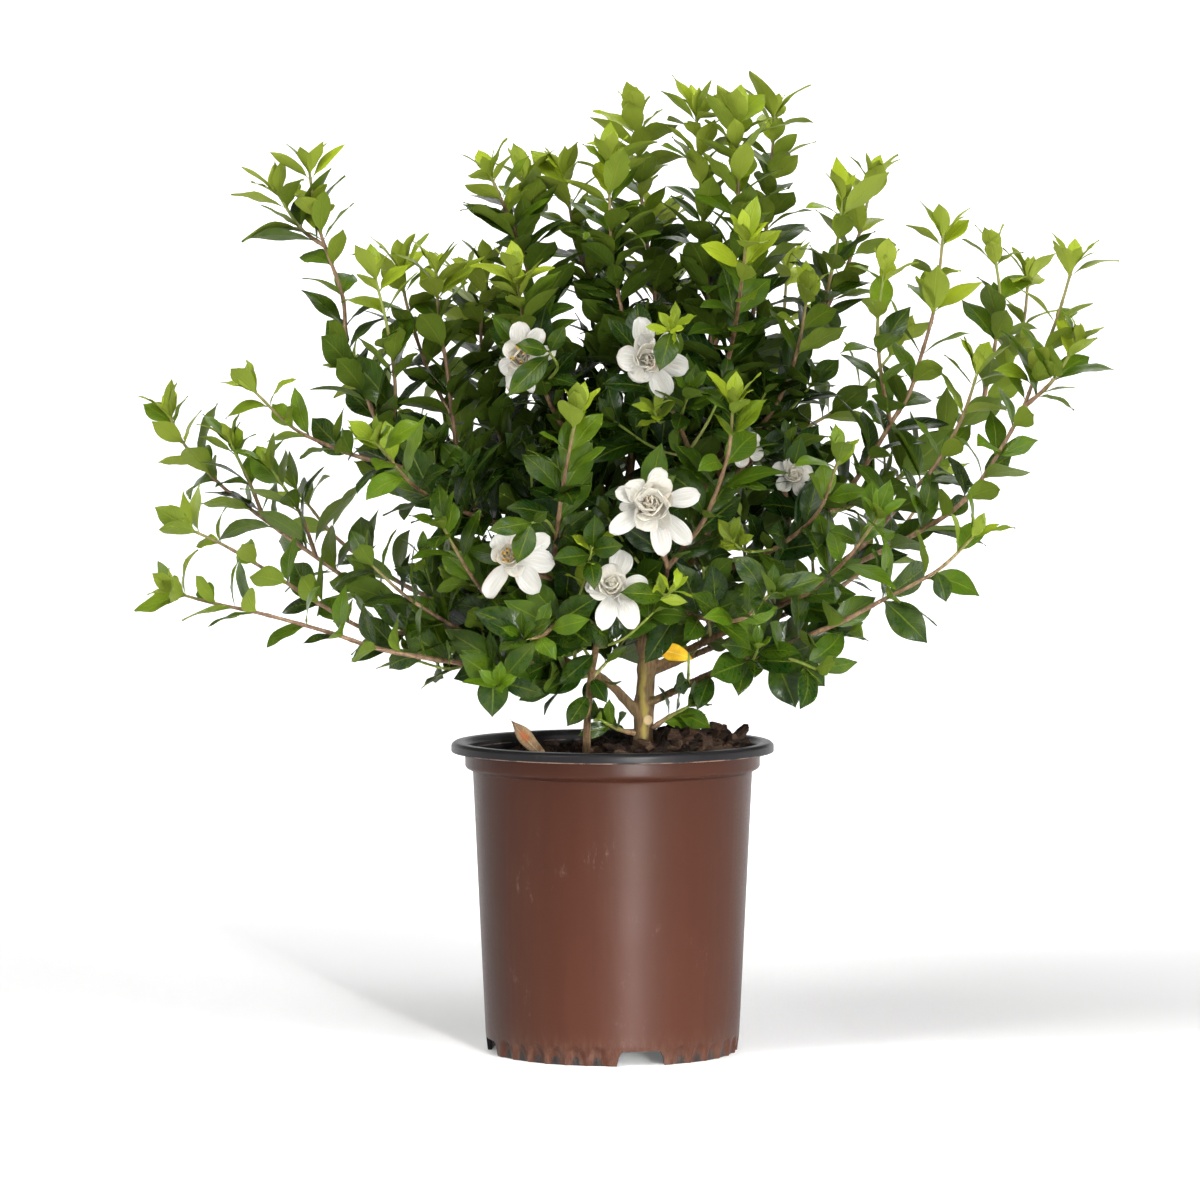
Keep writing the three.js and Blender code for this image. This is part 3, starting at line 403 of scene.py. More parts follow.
# The studio, in metres. Area lights: place, target, size, watts, spread in degrees.
LIGHTS = {
    "key": ((1.4, -1.9, 1.3), (0, 0, 0.4), (1.0, 1.4), 34, 180),
    "top": ((-0.2, -0.9, 2.4), (0, 0, 0.5), (1.4, 1.2), 11, 110),
    "left": ((-1.7, -1.5, 2.1), (-0.1, 0, 0.65), (0.8, 0.8), 3.6, 50),
    "strip": ((0.85, -2.7, 0.35), (0, 0, -0.06), (0.3, 0.4), 2.9, 18),
    "rear": ((0.6, 2.2, 2.2), (0, 0, 0.5), (1.2, 1.2), 12, 180),
}
SKY_LIGHT = 0.13
FLOOR_SIDES = 96
FLOOR_RINGS = (0.002, 0.6, 1.2, 2.4, 4.2, 5.4)
FLOOR_CURVE = 1.2  # radius of the curve up to the wall
FLOOR_WALL = 1.9
EYE = (-0.0093, -4.0, 0.553)
LOOKED_AT = (-0.0093, 0.0, 0.336)
FOCAL_LENGTH = 161.7  # of a lens, in millimetres
FILM_WIDTH = 36.0
FARTHEST = 60.0

# ---- draws, curves and directions


def draws(seed):
    """The same seeded draws from 0 to 1 as the part's source makes."""
    state = [seed & 0xFFFFFFFF]

    def draw():
        state[0] = (state[0] + 0x6D2B79F5) & 0xFFFFFFFF
        s = state[0]
        t = ((s ^ (s >> 15)) * (1 | s)) & 0xFFFFFFFF
        t ^= (t + (((t ^ (t >> 7)) * (61 | t)) & 0xFFFFFFFF)) & 0xFFFFFFFF
        return ((t ^ (t >> 14)) & 0xFFFFFFFF) / 4294967296

    return draw


def between(draw, low, high):
    """The next draw, from low to high."""
    return low + (high - low) * draw()


def unit(v):
    """The direction of a vector, with length 1."""
    v = np.asarray(v, float)
    return v / max(1e-12, float(np.linalg.norm(v)))


def square_to(v, along):
    """The direction of v with its share of another direction taken out."""
    return unit(v - along * float(v @ along))


def swing(first, second, angle):
    """The direction at an angle from the first of two square ones towards the second."""
    return first * math.cos(angle) + second * math.sin(angle)


def turned(places, turn):
    """Places turned about the upright axis."""
    c, s = math.cos(turn), math.sin(turn)
    return places @ np.array([[c, s, 0], [-s, c, 0], [0, 0, 1]])


def smooth(low, high, x):
    """A smooth step from 0 at low to 1 at high."""
    s = np.clip((np.asarray(x, float) - low) / (high - low), 0, 1)
    return s * s * (3 - 2 * s)


class Route:
    """A smooth curve through given points, the same as the solids' stems follow."""

    def __init__(self, points):
        self.points = np.array(points, float)
        runs = [self.run(t) for t in (0, 0.25, 0.5, 0.75, 1)]
        worst = [max(abs(run[axis]) for run in runs) for axis in range(3)]
        self.reference = np.eye(3)[worst.index(min(worst))]
        walk = np.array([self.at(t) for t in np.linspace(0, 1, 201)])
        self.length = float(np.linalg.norm(np.diff(walk, axis=0), axis=1).sum())

    def at(self, t):
        p, last = self.points, len(self.points) - 1
        place = t * last
        k = min(int(place), last - 1)
        w = place - k
        before = p[k - 1] if k > 0 else 2 * p[0] - p[1]
        after = p[k + 2] if k + 2 <= last else 2 * p[last] - p[last - 1]
        a, b = p[k], p[k + 1]
        ta, tb = 0.5 * (b - before), 0.5 * (after - a)
        return (
            a + ta * w + (-3 * a + 3 * b - 2 * ta - tb) * w**2 + (2 * a - 2 * b + ta + tb) * w**3
        )

    def run(self, t):
        return unit(self.at(min(1, t + 1e-4)) - self.at(max(0, t - 1e-4)))

    def square(self, t):
        """The route's direction at t and two directions square to it."""
        run = self.run(t)
        first = unit(np.cross(run, self.reference))
        return run, first, np.cross(run, first)


# ---- objects and meshes


def new_object(name, data):
    """An object in the scene for a mesh, a lamp or a camera."""
    made = bpy.data.objects.new(name, data)
    bpy.context.scene.collection.objects.link(made)
    return made


def closed_object(name, places, faces):
    """A closed surface, given in metres, with its faces turned outwards."""
    shaped = bmesh.new()
    corners = [shaped.verts.new(place) for place in places]
    for face in faces:
        shaped.faces.new([corners[k] for k in face])
    bmesh.ops.recalc_face_normals(shaped, faces=shaped.faces)
    mesh = bpy.data.meshes.new(name)
    shaped.to_mesh(mesh)
    shaped.free()
    return new_object(name, mesh)


def apply_modifiers(shown):
    """The object's mesh with its modifiers made real."""
    graph = bpy.context.evaluated_depsgraph_get()
    graph.update()
    made = bpy.data.meshes.new_from_object(shown.evaluated_get(graph))
    shown.modifiers.clear()
    shown.data = made
    return made


def dress(shown, slot, *nodes):
    """The piece rides on the one body and stands for CAD nodes, which it hides; slot is not used."""
    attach(shown, "root")
    if nodes:
        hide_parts(*nodes)
    return shown


class Sheets:
    """Vertices, faces, map coordinates and tones of many small surfaces, for one mesh."""

    def __init__(self):
        self.places, self.faces, self.slots, self.maps, self.tones = [], [], [], [], []
        self.count = 0

    def add(self, places, faces, slot, maps, tone):
        """One surface; its faces count its vertices from the mesh's first."""
        self.places.append(places)
        self.maps.append(maps)
        self.tones.append(np.broadcast_to(tone, (len(places), 3)))
        self.faces.extend(faces)
        self.slots.extend([slot] * len(faces))
        self.count += len(places)

    def grid(self, places, slot, tone, flip=False, wrap=False):
        """A surface of rows x columns of places; wrap joins its last column to its first."""
        rows, cols = places.shape[:2]
        index = np.arange(rows * cols).reshape(rows, cols) + self.count
        right = np.roll(index, -1, axis=1) if wrap else index[:, 1:]
        left = index if wrap else index[:, :-1]
        quads = np.stack([left[:-1], right[:-1], right[1:], left[1:]], axis=-1).reshape(-1, 4)
        if flip:
            quads = quads[:, ::-1]
        u, v = np.meshgrid(np.linspace(0, 1, cols), np.linspace(0, 1, rows))
        maps = np.stack([u, v], axis=-1).reshape(-1, 2)
        self.add(places.reshape(-1, 3), quads.tolist(), slot, maps, tone)

    def solid(self, places, faces, slot, tone):
        """One closed surface; its faces count its own vertices."""
        moved = [[k + self.count for k in face] for face in faces]
        self.add(np.asarray(places, float), moved, slot, np.zeros((len(places), 2)), tone)

    def tube(self, route, radius_at, sides, rings, slot, tone):
        """The skin of a stem; radius_at takes t."""
        self.grid(tube(route, radius_at, sides, rings), slot, tone, wrap=True)

    def piece(self, name, materials, flat=False):
        """The object that all the surfaces make, in metres."""
        places = np.concatenate(self.places) * MM
        mesh = bpy.data.meshes.new(name)
        mesh.from_pydata(places.tolist(), [], self.faces)
        corner = np.zeros(len(mesh.loops), dtype=np.int32)
        mesh.loops.foreach_get("vertex_index", corner)
        layer = mesh.uv_layers.new(name="leaf_map")
        layer.data.foreach_set("uv", np.concatenate(self.maps)[corner].astype(np.float32).ravel())
        tone = mesh.attributes.new("tone", "FLOAT_COLOR", "POINT")
        colours = np.ones((len(places), 4), np.float32)
        colours[:, :3] = np.concatenate(self.tones)
        tone.data.foreach_set("color", colours.ravel())
        for made in materials:
            mesh.materials.append(made)
        mesh.polygons.foreach_set("material_index", np.array(self.slots, np.int32))
        mesh.polygons.foreach_set("use_smooth", np.full(len(mesh.polygons), not flat))
        mesh.update()
        return new_object(name, mesh)


def tube(route, radius_at, sides, rings):
    """Rows of places round a stem; radius_at takes t."""
    turns = np.linspace(0, 2 * math.pi, sides, endpoint=False)
    rows = []
    for t in np.linspace(0, 1, rings):
        _, first, second = route.square(t)
        ring = np.outer(np.cos(turns), first) - np.outer(np.sin(turns), second)
        rows.append(route.at(t) + radius_at(t) * ring)
    return np.array(rows)


# ---- node materials


class Shader:
    """A Principled material built up from nodes."""

    def __init__(self, name, roughness=0.5, specular=0.5):
        self.material = bpy.data.materials.new(name)
        self.material.use_nodes = True
        self.tree = self.material.node_tree
        self.surface = self.tree.nodes["Principled BSDF"]
        self.set(Roughness=roughness, Specular_IOR_Level=specular)

    def put(self, socket, value):
        if isinstance(value, bpy.types.NodeSocket):
            self.tree.links.new(value, socket)
        elif isinstance(value, (int, float)):
            socket.default_value = value
        else:
            colour = len(value) == 3 and socket.type == "RGBA"
            socket.default_value = (*value, 1.0) if colour else value

    def set(self, **inputs):
        for key, value in inputs.items():
            self.put(self.surface.inputs[key.replace("_", " ")], value)

    def node(self, kind, out=0, settings=None, **inputs):
        """One output of a new node; its inputs go by name or, as i0, i1 and so on, by number."""
        made = self.tree.nodes.new(kind)
        for key, value in (settings or {}).items():
            setattr(made, key, value)
        for key, value in inputs.items():
            place = int(key[1:]) if key[0] == "i" and key[1:].isdigit() else key.replace("_", " ")
            self.put(made.inputs[place], value)
        return made.outputs[out]

    def maths(self, operation, a, b=0.0, clamp=False):
        settings = {"operation": operation, "use_clamp": clamp}
        return self.node("ShaderNodeMath", settings=settings, i0=a, i1=b)

    def times(self, a, b):
        return self.maths("MULTIPLY", a, b)

    def plus(self, a, b, clamp=False):
        return self.maths("ADD", a, b, clamp)

    def minus(self, a, b):
        return self.maths("SUBTRACT", a, b)

    def gap(self, a, b):
        return self.maths("ABSOLUTE", self.minus(a, b))

    def step(self, value, low, high, first=0.0, last=1.0):
        """A smooth step: first where the value is under low, last where it is over high."""
        settings = {"interpolation_type": "SMOOTHSTEP"}
        return self.node(
            "ShaderNodeMapRange", settings=settings, Value=value,
            From_Min=low, From_Max=high, To_Min=first, To_Max=last,
        )

    def fade(self, value, low, high):
        return self.step(value, low, high, 1.0, 0.0)

    def mix(self, share, a, b):
        settings = {"data_type": "RGBA", "blend_type": "MIX"}
        return self.node("ShaderNodeMix", out=2, settings=settings, i0=share, i6=a, i7=b)

    def shades(self, value, low, high, a, b):
        """Colour a where the value is under low, colour b where it is over high."""
        return self.mix(self.step(value, low, high), a, b)

    def place(self):
        """The place on the object, in metres."""
        return self.node("ShaderNodeTexCoord", out=3)

    def distance(self, point):
        settings = {"operation": "DISTANCE"}
        return self.node(
            "ShaderNodeVectorMath", out=1, settings=settings, i0=self.place(), i1=point
        )

    def split(self, kind, whole):
        """The three outputs of a node that takes a vector or a colour apart."""
        made = self.tree.nodes.new(kind)
        self.tree.links.new(whole, made.inputs[0])
        return made.outputs[:3]

    def tone(self):
        """The three tones that the mesh has at each vertex."""
        tone = self.node("ShaderNodeAttribute", settings={"attribute_name": "tone"})
        return self.split("ShaderNodeSeparateColor", tone)

    def leaf_map(self):
        """A blade's map, the distance from its midrib and the place from root (0) to tip (1)."""
        leaf_map = self.node("ShaderNodeUVMap", settings={"uv_map": "leaf_map"})
        across, along, _ = self.split("ShaderNodeSeparateXYZ", leaf_map)
        return leaf_map, self.gap(across, 0.5), along

    def veins(self, across, along, slant, width):
        """1 on the side veins, which leave the midrib at a slant."""
        phase = self.minus(self.times(along, 9.0), self.times(across, slant))
        wave = self.maths("ABSOLUTE", self.maths("SINE", self.times(phase, math.pi)))
        return self.fade(wave, 0.0, width)

    def noise(self, scale, detail=4.0, roughness=0.6, vector=None, stretch=None):
        place = vector or self.place()
        if stretch:
            place = self.node("ShaderNodeMapping", i0=place, i3=stretch)
        return self.node(
            "ShaderNodeTexNoise", Vector=place, Scale=scale, Detail=detail, Roughness=roughness
        )

    def bump(self, height, strength, distance):
        normal = self.node("ShaderNodeBump", Height=height, Strength=strength, Distance=distance)
        self.set(Normal=normal)


def rgb(r, g, b):
    """Screen values, 0 to 255, as linear light."""
    shares = [c / 255 for c in (r, g, b)]
    return tuple(c / 12.92 if c <= 10 / 255 else ((c + 0.055) / 1.055) ** 2.4 for c in shares)


def leaf_material(name, old, grown, young, roughness, vein_light, relief):
    """Leaf tissue: tone red is youth, green a chance shift, blue how deep in the bush, as painted shade."""
    s = Shader(name, roughness, specular=0.24)
    youth, chance, inside = s.tone()
    _, across, along = s.leaf_map()
    midrib = s.fade(across, 0.010, 0.04)
    veins = s.veins(across, along, 5.0, 0.3)
    body = s.shades(youth, 0.0, 0.5, old, grown)
    body = s.shades(youth, 0.45, 1.0, body, young)
    body = s.mix(s.step(chance, 0.4, 1.0, 0.0, 0.45), body, grown)
    body = s.mix(s.times(s.step(s.noise(90.0, 5.0), 0.35, 0.75), 0.12), body, young)
    # Painted shade: deep inside the bush the leaf takes the old leaves' dark colour.
    body = s.mix(s.step(inside, 0.08, 0.65, 0.0, 0.85), body, old)
    body = s.mix(s.times(veins, vein_light * 0.5), body, grown)
    body = s.mix(s.times(midrib, vein_light), body, young)
    rough = s.step(s.noise(240.0, 3.0), 0.3, 0.7, roughness - 0.04, roughness + 0.1)
    s.set(Base_Color=body, Roughness=s.plus(rough, s.times(youth, 0.12)))
    s.bump(s.times(s.plus(s.times(veins, 0.6), midrib), relief), 0.6, 0.0006)
    return s.material


def dying_leaf_material(name, plain, edge, spot, roughness, burn):
    """A dying leaf: its midrib, blotches and browned edge."""
    s = Shader(name, roughness, specular=0.3)
    _, across, along = s.leaf_map()
    blotch = s.noise(120.0, 5.0)
    veins = s.veins(across, along, 1.0, 0.25)
    body = s.shades(blotch, 0.4, 0.7, plain, edge)
    body = s.mix(s.step(across, 0.012, 0.05, 0.6, 0.0), body, spot)
    body = s.mix(s.times(veins, 0.3), body, spot)
    rim = s.times(s.step(across, 0.36, 0.5), s.step(s.noise(80.0, 3.0), 0.4, 0.6))
    body = s.mix(s.times(rim, 0.6), body, edge)
    near = s.times(s.fade(s.gap(along, 0.62), 0.05, 0.14), s.fade(across, 0.1, 0.3))
    s.set(Base_Color=s.mix(s.times(near, burn), body, rgb(176, 84, 24)))
    s.bump(s.plus(veins, blotch), 0.4, 0.0006)
    return s.material


def stem_material():
    """Young green stem that turns to brown bark: tone red is how woody it is."""
    s = Shader("stem")
    woody, _, _ = s.tone()
    grain = s.noise(260.0, 4.0, stretch=(1, 1, 0.25))
    green = s.shades(grain, 0.3, 0.7, rgb(112, 138, 48), rgb(150, 160, 72))
    brown = s.shades(grain, 0.3, 0.7, rgb(104, 76, 52), rgb(152, 122, 92))
    s.set(Base_Color=s.shades(s.plus(woody, s.times(grain, 0.2)), 0.35, 0.75, green, brown))
    s.bump(grain, 0.35, 0.0005)
    return s.material


def petal_material():
    """Cream petals: tone red is how far into the bloom, green how worn; brown spots at the rim."""
    s = Shader("petal", roughness=0.6, specular=0.25)
    inner, chance, _ = s.tone()
    leaf_map, across, along = s.leaf_map()
    streak = s.noise(1.0, 3.0, vector=leaf_map, stretch=(22, 2.2, 1))
    white = s.shades(streak, 0.35, 0.7, rgb(214, 212, 205), rgb(195, 190, 179))
    cream = s.mix(s.times(inner, 0.85), white, rgb(222, 213, 184))
    throat = s.mix(s.step(along, 0.0, 0.3, 0.6, 0.0), cream, rgb(222, 214, 158))
    edge = s.times(s.step(s.noise(60.0, 4.0), 0.5, 0.66), s.step(across, 0.34, 0.5))
    tip = s.times(s.step(s.noise(45.0, 4.0), 0.52, 0.66), s.step(along, 0.84, 1.0))
    spots = s.times(s.plus(edge, tip, clamp=True), s.step(chance, 0.2, 0.8))
    s.set(Base_Color=s.mix(s.times(spots, 0.8), throat, rgb(206, 158, 122)))
    s.set(Subsurface_Weight=0.3, Subsurface_Radius=(1.0, 0.92, 0.75), Subsurface_Scale=0.005)
    s.bump(streak, 0.7, 0.0012)
    return s.material


def calyx_material():
    """Green sepals under a bloom, paler in patches."""
    s = Shader("calyx")
    s.set(Base_Color=s.shades(s.noise(300.0), 0.3, 0.7, rgb(120, 150, 50), rgb(226, 222, 150)))
    s.bump(s.noise(500.0), 0.3, 0.0004)
    return s.material


def stamen_material():
    """Yellow stamens with paler pollen."""
    s = Shader("stamen", roughness=0.7)
    s.set(Base_Color=s.shades(s.noise(400.0), 0.35, 0.65, rgb(214, 168, 60), rgb(238, 208, 112)))
    return s.material


def bark_material():
    """Tan bark with lengthwise grain, an olive streak up the front and a pale pruned knot."""
    s = Shader("bark", roughness=0.8, specular=0.25)
    x, y, z = s.split("ShaderNodeSeparateXYZ", s.place())
    grain = s.noise(420.0, 6.0, 0.7, stretch=(1, 1, 0.16))
    patches = s.noise(70.0, 4.0)
    body = s.shades(grain, 0.32, 0.68, rgb(70, 51, 35), rgb(122, 96, 66))
    body = s.mix(s.step(patches, 0.45, 0.7, 0.0, 0.55), body, rgb(90, 80, 48))
    weave = s.times(s.minus(s.noise(60.0, 2.0), 0.5), 0.012)
    aside = s.maths("ABSOLUTE", s.plus(s.minus(x, STREAK * MM), weave))
    low = s.fade(z, 0.27, 0.3)
    front = s.fade(y, -0.004, 0.001)
    streak = s.times(s.times(s.fade(aside, 0.0008, 0.0032), low), front)
    body = s.mix(s.times(streak, 0.7), body, rgb(150, 136, 64))
    knot = s.fade(s.distance(tuple(c * MM for c in KNOT)), 0.0028, 0.0044)
    s.set(Base_Color=s.mix(s.times(knot, 0.85), body, rgb(182, 160, 124)))
    s.bump(s.plus(grain, s.times(patches, 0.4)), 0.7, 0.0012)
    return s.material


def mulch_material():
    """Bark mulch: tone red is how pale a chip is, green a chance shift to red."""
    s = Shader("mulch", roughness=0.95, specular=0.15)
    pale, chance, _ = s.tone()
    grain = s.noise(520.0, 6.0, 0.7, stretch=(1, 1, 2.5))
    lumps = s.noise(140.0, 4.0)
    dark = s.shades(grain, 0.3, 0.7, rgb(13, 9, 7), rgb(34, 24, 19))
    light = s.shades(grain, 0.3, 0.7, rgb(54, 39, 30), rgb(98, 76, 58))
    body = s.mix(pale, dark, light)
    body = s.mix(s.step(chance, 0.75, 1.0, 0.0, 0.25), body, rgb(84, 50, 32))
    s.set(Base_Color=s.mix(s.step(lumps, 0.55, 0.75, 0.0, 0.4), body, rgb(22, 15, 11)))
    s.bump(grain, 0.9, 0.0014)
    return s.material


def plastic_material(name, plain, worn, roughness, rim_line=False):
    """Satin moulded plastic with a fine grain, faint upright flow marks, scuffs and dust."""
    s = Shader(name, roughness, specular=0.15)
    _, _, height = s.split("ShaderNodeSeparateXYZ", s.place())
    grain = s.noise(900.0, 3.0)
    flow = s.noise(38.0, 4.0, stretch=(1, 1, 0.06))
    scuffs = s.noise(26.0, 8.0, 0.75)
    fine = s.noise(240.0, 6.0, 0.8, stretch=(1, 1, 0.3))
    body = s.mix(s.step(flow, 0.35, 0.7, 0.0, 0.3), plain, worn)
    rub = s.times(s.step(scuffs, 0.56, 0.7), s.step(fine, 0.5, 0.66))
    body = s.mix(s.times(rub, 0.2), body, rgb(140, 120, 108))
    dusty = s.times(s.step(height, 0.0, 0.03, 0.4, 0.0), s.step(fine, 0.4, 0.7))
    body = s.mix(s.times(dusty, 0.6), body, rgb(120, 100, 86))
    if rim_line:
        line = s.fade(s.gap(height, RIM_LINE * MM), 0.0002, 0.0006)
        line = s.times(line, s.step(s.noise(60.0, 5.0), 0.4, 0.6))
        body = s.mix(s.times(line, 0.6), body, rgb(150, 126, 110))
    rough = s.plus(grain, s.times(rub, 0.5))
    rough = s.step(rough, 0.3, 0.9, roughness - 0.06, roughness + 0.14)
    s.set(Base_Color=body, Roughness=rough)
    dents = s.times(s.noise(17.0, 2.0, 0.4), 3.0)
    s.bump(s.plus(s.plus(s.times(grain, 0.2), flow), dents), 0.35, 0.0009)
    return s.material


# ---- leaves


def leaf_outline(s):
    """Half width from root (0) to tip (1), with a short leafstalk."""
    s = np.clip(s, 0, 1)
    blade = np.sin(math.pi * s**1.12) ** (0.84 + 0.4 * s**2)
    return blade * smooth(0.03, 0.2, s) + 0.07 * (1 - smooth(0.0, 0.3, s))


def leaf_blade(route, t, azimuth, draw, size):
    """The leaf at one place on a stem, turned towards the light, as the solids have it."""
    run, first, second = route.square(t)
    along = unit(run + 0.35 * UP)
    out = square_to(swing(first, second, azimuth) + 0.3 * UP, along)
    return {
        "root": route.at(t) + 0.5 * out,
        "along": along,
        "out": out,
        "length": LEAF_LENGTH * size * between(draw, 0.85, 1.12),
        "width": LEAF_WIDTH * between(draw, 0.9, 1.1),
        "lift": between(draw, 28, 52) * DEGREE,
        "bend": between(draw, 14, 46) * DEGREE,
        "roll": between(draw, -16, 16) * DEGREE,
    }


def hanging_blade(root, tip, width, bend, facing):
    """A single leaf from its root to its tip, arched over its run, its upper side to facing."""
    root = np.array(root, float)
    reach = np.array(tip, float) - root
    along = unit(reach)
    bend = bend * DEGREE
    return {
        "root": root, "along": along, "out": square_to(-np.array(facing, float), along),
        "length": float(np.linalg.norm(reach)), "width": width,
        "lift": -0.5 * bend, "bend": bend, "roll": 0.25,
    }


def blade_grid(blade, outline, rows, cols, fold, wave, cup=0.0):
    """Places and upward directions over a bent blade."""
    s = np.linspace(0, 1, rows)[:, None]
    across = np.linspace(-1, 1, cols)[None, :]
    length, lift, bend = blade["length"], blade["lift"], blade["bend"]
    side = np.cross(blade["along"], blade["out"])
    angle = lift + bend * s
    forward = length * (np.sin(angle) - math.sin(lift)) / bend
    outward = length * (math.cos(lift) - np.cos(angle)) / bend
    half = 0.5 * blade["width"] * length * outline(s)
    reach = across * half
    rise = math.sin(blade["roll"]) * reach + fold * np.abs(reach) * (1 - 0.4 * np.abs(across))
    rise = rise + cup * half * across**2 + blade.get("curl", 0.0) * length * s**3
    ripple = np.sin(s * wave["count"] * 2 * math.pi + wave["phase"] + 1.3 * across)
    rise = rise + wave["size"] * ripple * np.abs(across) ** 1.6 * smooth(0.1, 0.4, s)
    twist = blade.get("twist", 0.0) * smooth(0.0, 0.35, s)
    c, t = np.cos(twist), np.sin(twist)
    reach, rise = reach * c - rise * t, rise * c + reach * t

    def spread(along_share, out_share, side_share):
        return (
            np.asarray(along_share)[..., None] * blade["along"]
            + np.asarray(out_share)[..., None] * blade["out"]
            + np.asarray(side_share)[..., None] * side
        )

    flat = np.zeros_like(reach)
    normal = spread(np.sin(angle) + flat, -np.cos(angle) + flat, flat)
    places = blade["root"] + spread(forward + flat, outward + flat, reach) + rise[..., None] * normal
    return places, c[..., None] * normal - spread(flat, flat, t + flat)


def add_blade(sheets, blade, outline, tone, slots, shape, thickness, rows, cols):
    """A blade's upper and lower skin, which meet at its rim."""
    places, normal = blade_grid(blade, outline, rows, cols, **shape)
    rim = np.zeros(places.shape[:2] + (1,))
    rim[1:-1, 1:-1] = 1
    sheets.grid(places + 0.5 * thickness * rim * normal, slots[0], tone, flip=True)
    sheets.grid(places - 0.5 * thickness * rim * normal, slots[1], tone)


def from_middle(place):
    """A place seen from the bush's middle, of length 1 at the bush's outside."""
    return (place - BUSH_MIDDLE) / BUSH_HALF


def depth_inside(place):
    """1 in the middle of the bush, 0 at its outside."""
    return float(1 - min(1.0, np.linalg.norm(from_middle(place))))


def place_on(blade, share):
    """Roughly where a blade is at a share of its length."""
    angle = blade["lift"] + 0.5 * share * blade["bend"]
    return blade["root"] + share * blade["length"] * swing(blade["along"], blade["out"], angle)


def turn_to_light(blade, share, draw):
    """Twists a blade about its own run, part of the way to face up and out of the bush."""
    light = unit(0.9 * unit(from_middle(blade["root"])) + 0.8 * UP)
    angle = blade["lift"] + 0.5 * blade["bend"]
    normal = math.sin(angle) * blade["along"] - math.cos(angle) * blade["out"]
    side = np.cross(blade["along"], blade["out"])
    wanted = math.atan2(-float(side @ light), float(normal @ light))
    wanted = float(np.clip(wanted, -1.3, 1.3))
    blade["twist"] = wanted * share + between(draw, -0.45, 0.45)


def in_front_of(bloom, place):
    """Whether a place is in a bloom's open view."""
    axis = unit(bloom["facing"])
    apart = place - np.array(bloom["centre"], float)
    ahead = float(apart @ axis)
    behind, before = BLOOM_CLEARANCE
    return behind < ahead < before and np.linalg.norm(apart - ahead * axis) < bloom["open"]


def hides_something(blade):
    """Whether a leaf would lie across a bloom, the yellow leaf or the foot of the trunk."""
    for share in (0.35, 0.65, 1.0):
        place = place_on(blade, share)
        if any(np.all(place > low) and np.all(place < high) for low, high in CLEAR_BOXES):
            return True
        if any(in_front_of(bloom, place) for bloom in BLOOMS.values()):
            return True
    return False


def ripples(draw, count, size):
    """How a blade's edge waves."""
    return {
        "count": between(draw, *count), "phase": between(draw, 0, 6), "size": between(draw, *size),
    }


def add_leaf(sheets, blade, youth, draw, rows=11, cols=7, chance=None):
    """One green leaf, shiny above and matt below."""
    shift = draw() if chance is None else chance
    # Tone blue, the leaf's depth inside the bush, sets its painted shade.
    tone = np.array([youth, shift, depth_inside(blade["root"])])
    fold = LEAF_FOLD * between(draw, 0.5, 1.3)
    shape = {"fold": fold, "wave": ripples(draw, (1.2, 2.6), (0.3, 1.0))}
    add_blade(sheets, blade, leaf_outline, tone, (1, 2), shape, LEAF_THICKNESS, rows, cols)


def hang_leaf(sheets, root, tip, width, youth, draw, rows=20, cols=11):
    """One green leaf that hangs from its root to its tip."""
    blade = hanging_blade(root, tip, width, **HANGING)
    add_leaf(sheets, blade, youth, draw, rows, cols, chance=0.2)


def youth_at(t, draw, most):
    """How young a leaf is: more so towards its stem's tip."""
    return float(np.clip(most * smooth(0.25, 1.05, t) + between(draw, -0.2, 0.3), 0, 1))


def most_youth(route):
    """How bright a stem's newest leaves are: high and outer shoots have the most new growth."""
    tip = route.at(1)
    height = float(smooth(340, 560, tip[2]))
    outer = float(smooth(190, 300, abs(tip[0])))
    return 0.07 + 0.85 * max(height, 0.75 * outer)


def add_solid_leaves(sheets, route, seed, size, carrier):
    """The leaves that the solids have too: spaced pairs and the tuft."""
    pairs = max(1, math.floor(route.length / LEAF_PAIR_GAP + 0.5))
    most = 0.3 if carrier else most_youth(route)
    for k in range(2 * pairs + TUFT_LEAVES):
        draw = draws(seed + k)
        pair = k // 2
        in_tuft = pair >= pairs
        t = TUFT_AT if in_tuft else (pair + 0.5) / pairs
        turn = (k - 2 * pairs) * TUFT_TURN if in_tuft else pair * 90 + (k % 2) * 180
        azimuth = (turn + between(draw, -25, 25)) * DEGREE
        scale = TUFT_SIZE if in_tuft else 1.12 - 0.25 * t
        blade = leaf_blade(route, t, azimuth, draw, size * scale)
        if in_tuft:
            blade["lift"] *= 0.5
        may_go = carrier or in_tuft  # the other shoots' pairs stay, whatever they hide
        if not (may_go and hides_something(blade)):
            add_leaf(sheets, blade, youth_at(t, draw, most), draw)


def add_fine_leaves(sheets, route, seed, size, start=0.0, spacing=SPACING, most=None):
    """The rest of a stem's leaves: whorls of two or three, smaller and brighter at the tip."""
    whorls = max(2, round(route.length * (1 - start) / spacing))
    draw = draws(seed + FINE_LEAF_SEED)
    most = most_youth(route) if most is None else most
    for k in range(whorls):
        t = start + (1 - start) * (k + 0.5 + between(draw, -0.2, 0.2)) / whorls
        number = 3 if draw() < (0.65 if spacing < 18 else 0.3) else 2
        for j in range(number):
            azimuth = k * 1.05 + j * 2 * math.pi / number + between(draw, -0.35, 0.35)
            scale = size * (1.1 - 0.32 * t) * between(draw, 0.74, 1.2)
            blade = leaf_blade(route, min(t, 0.99), azimuth, draw, scale)
            blade["width"] *= between(draw, 0.95, 1.2)
            blade["bend"] *= between(draw, 0.6, 1.7)
            turn_to_light(blade, 0.75, draw)
            if not hides_something(blade):
                add_leaf(sheets, blade, youth_at(t, draw, most), draw)
    if spacing < BARE_SPACING:
        add_tip_leaves(sheets, route, draw, size, most)


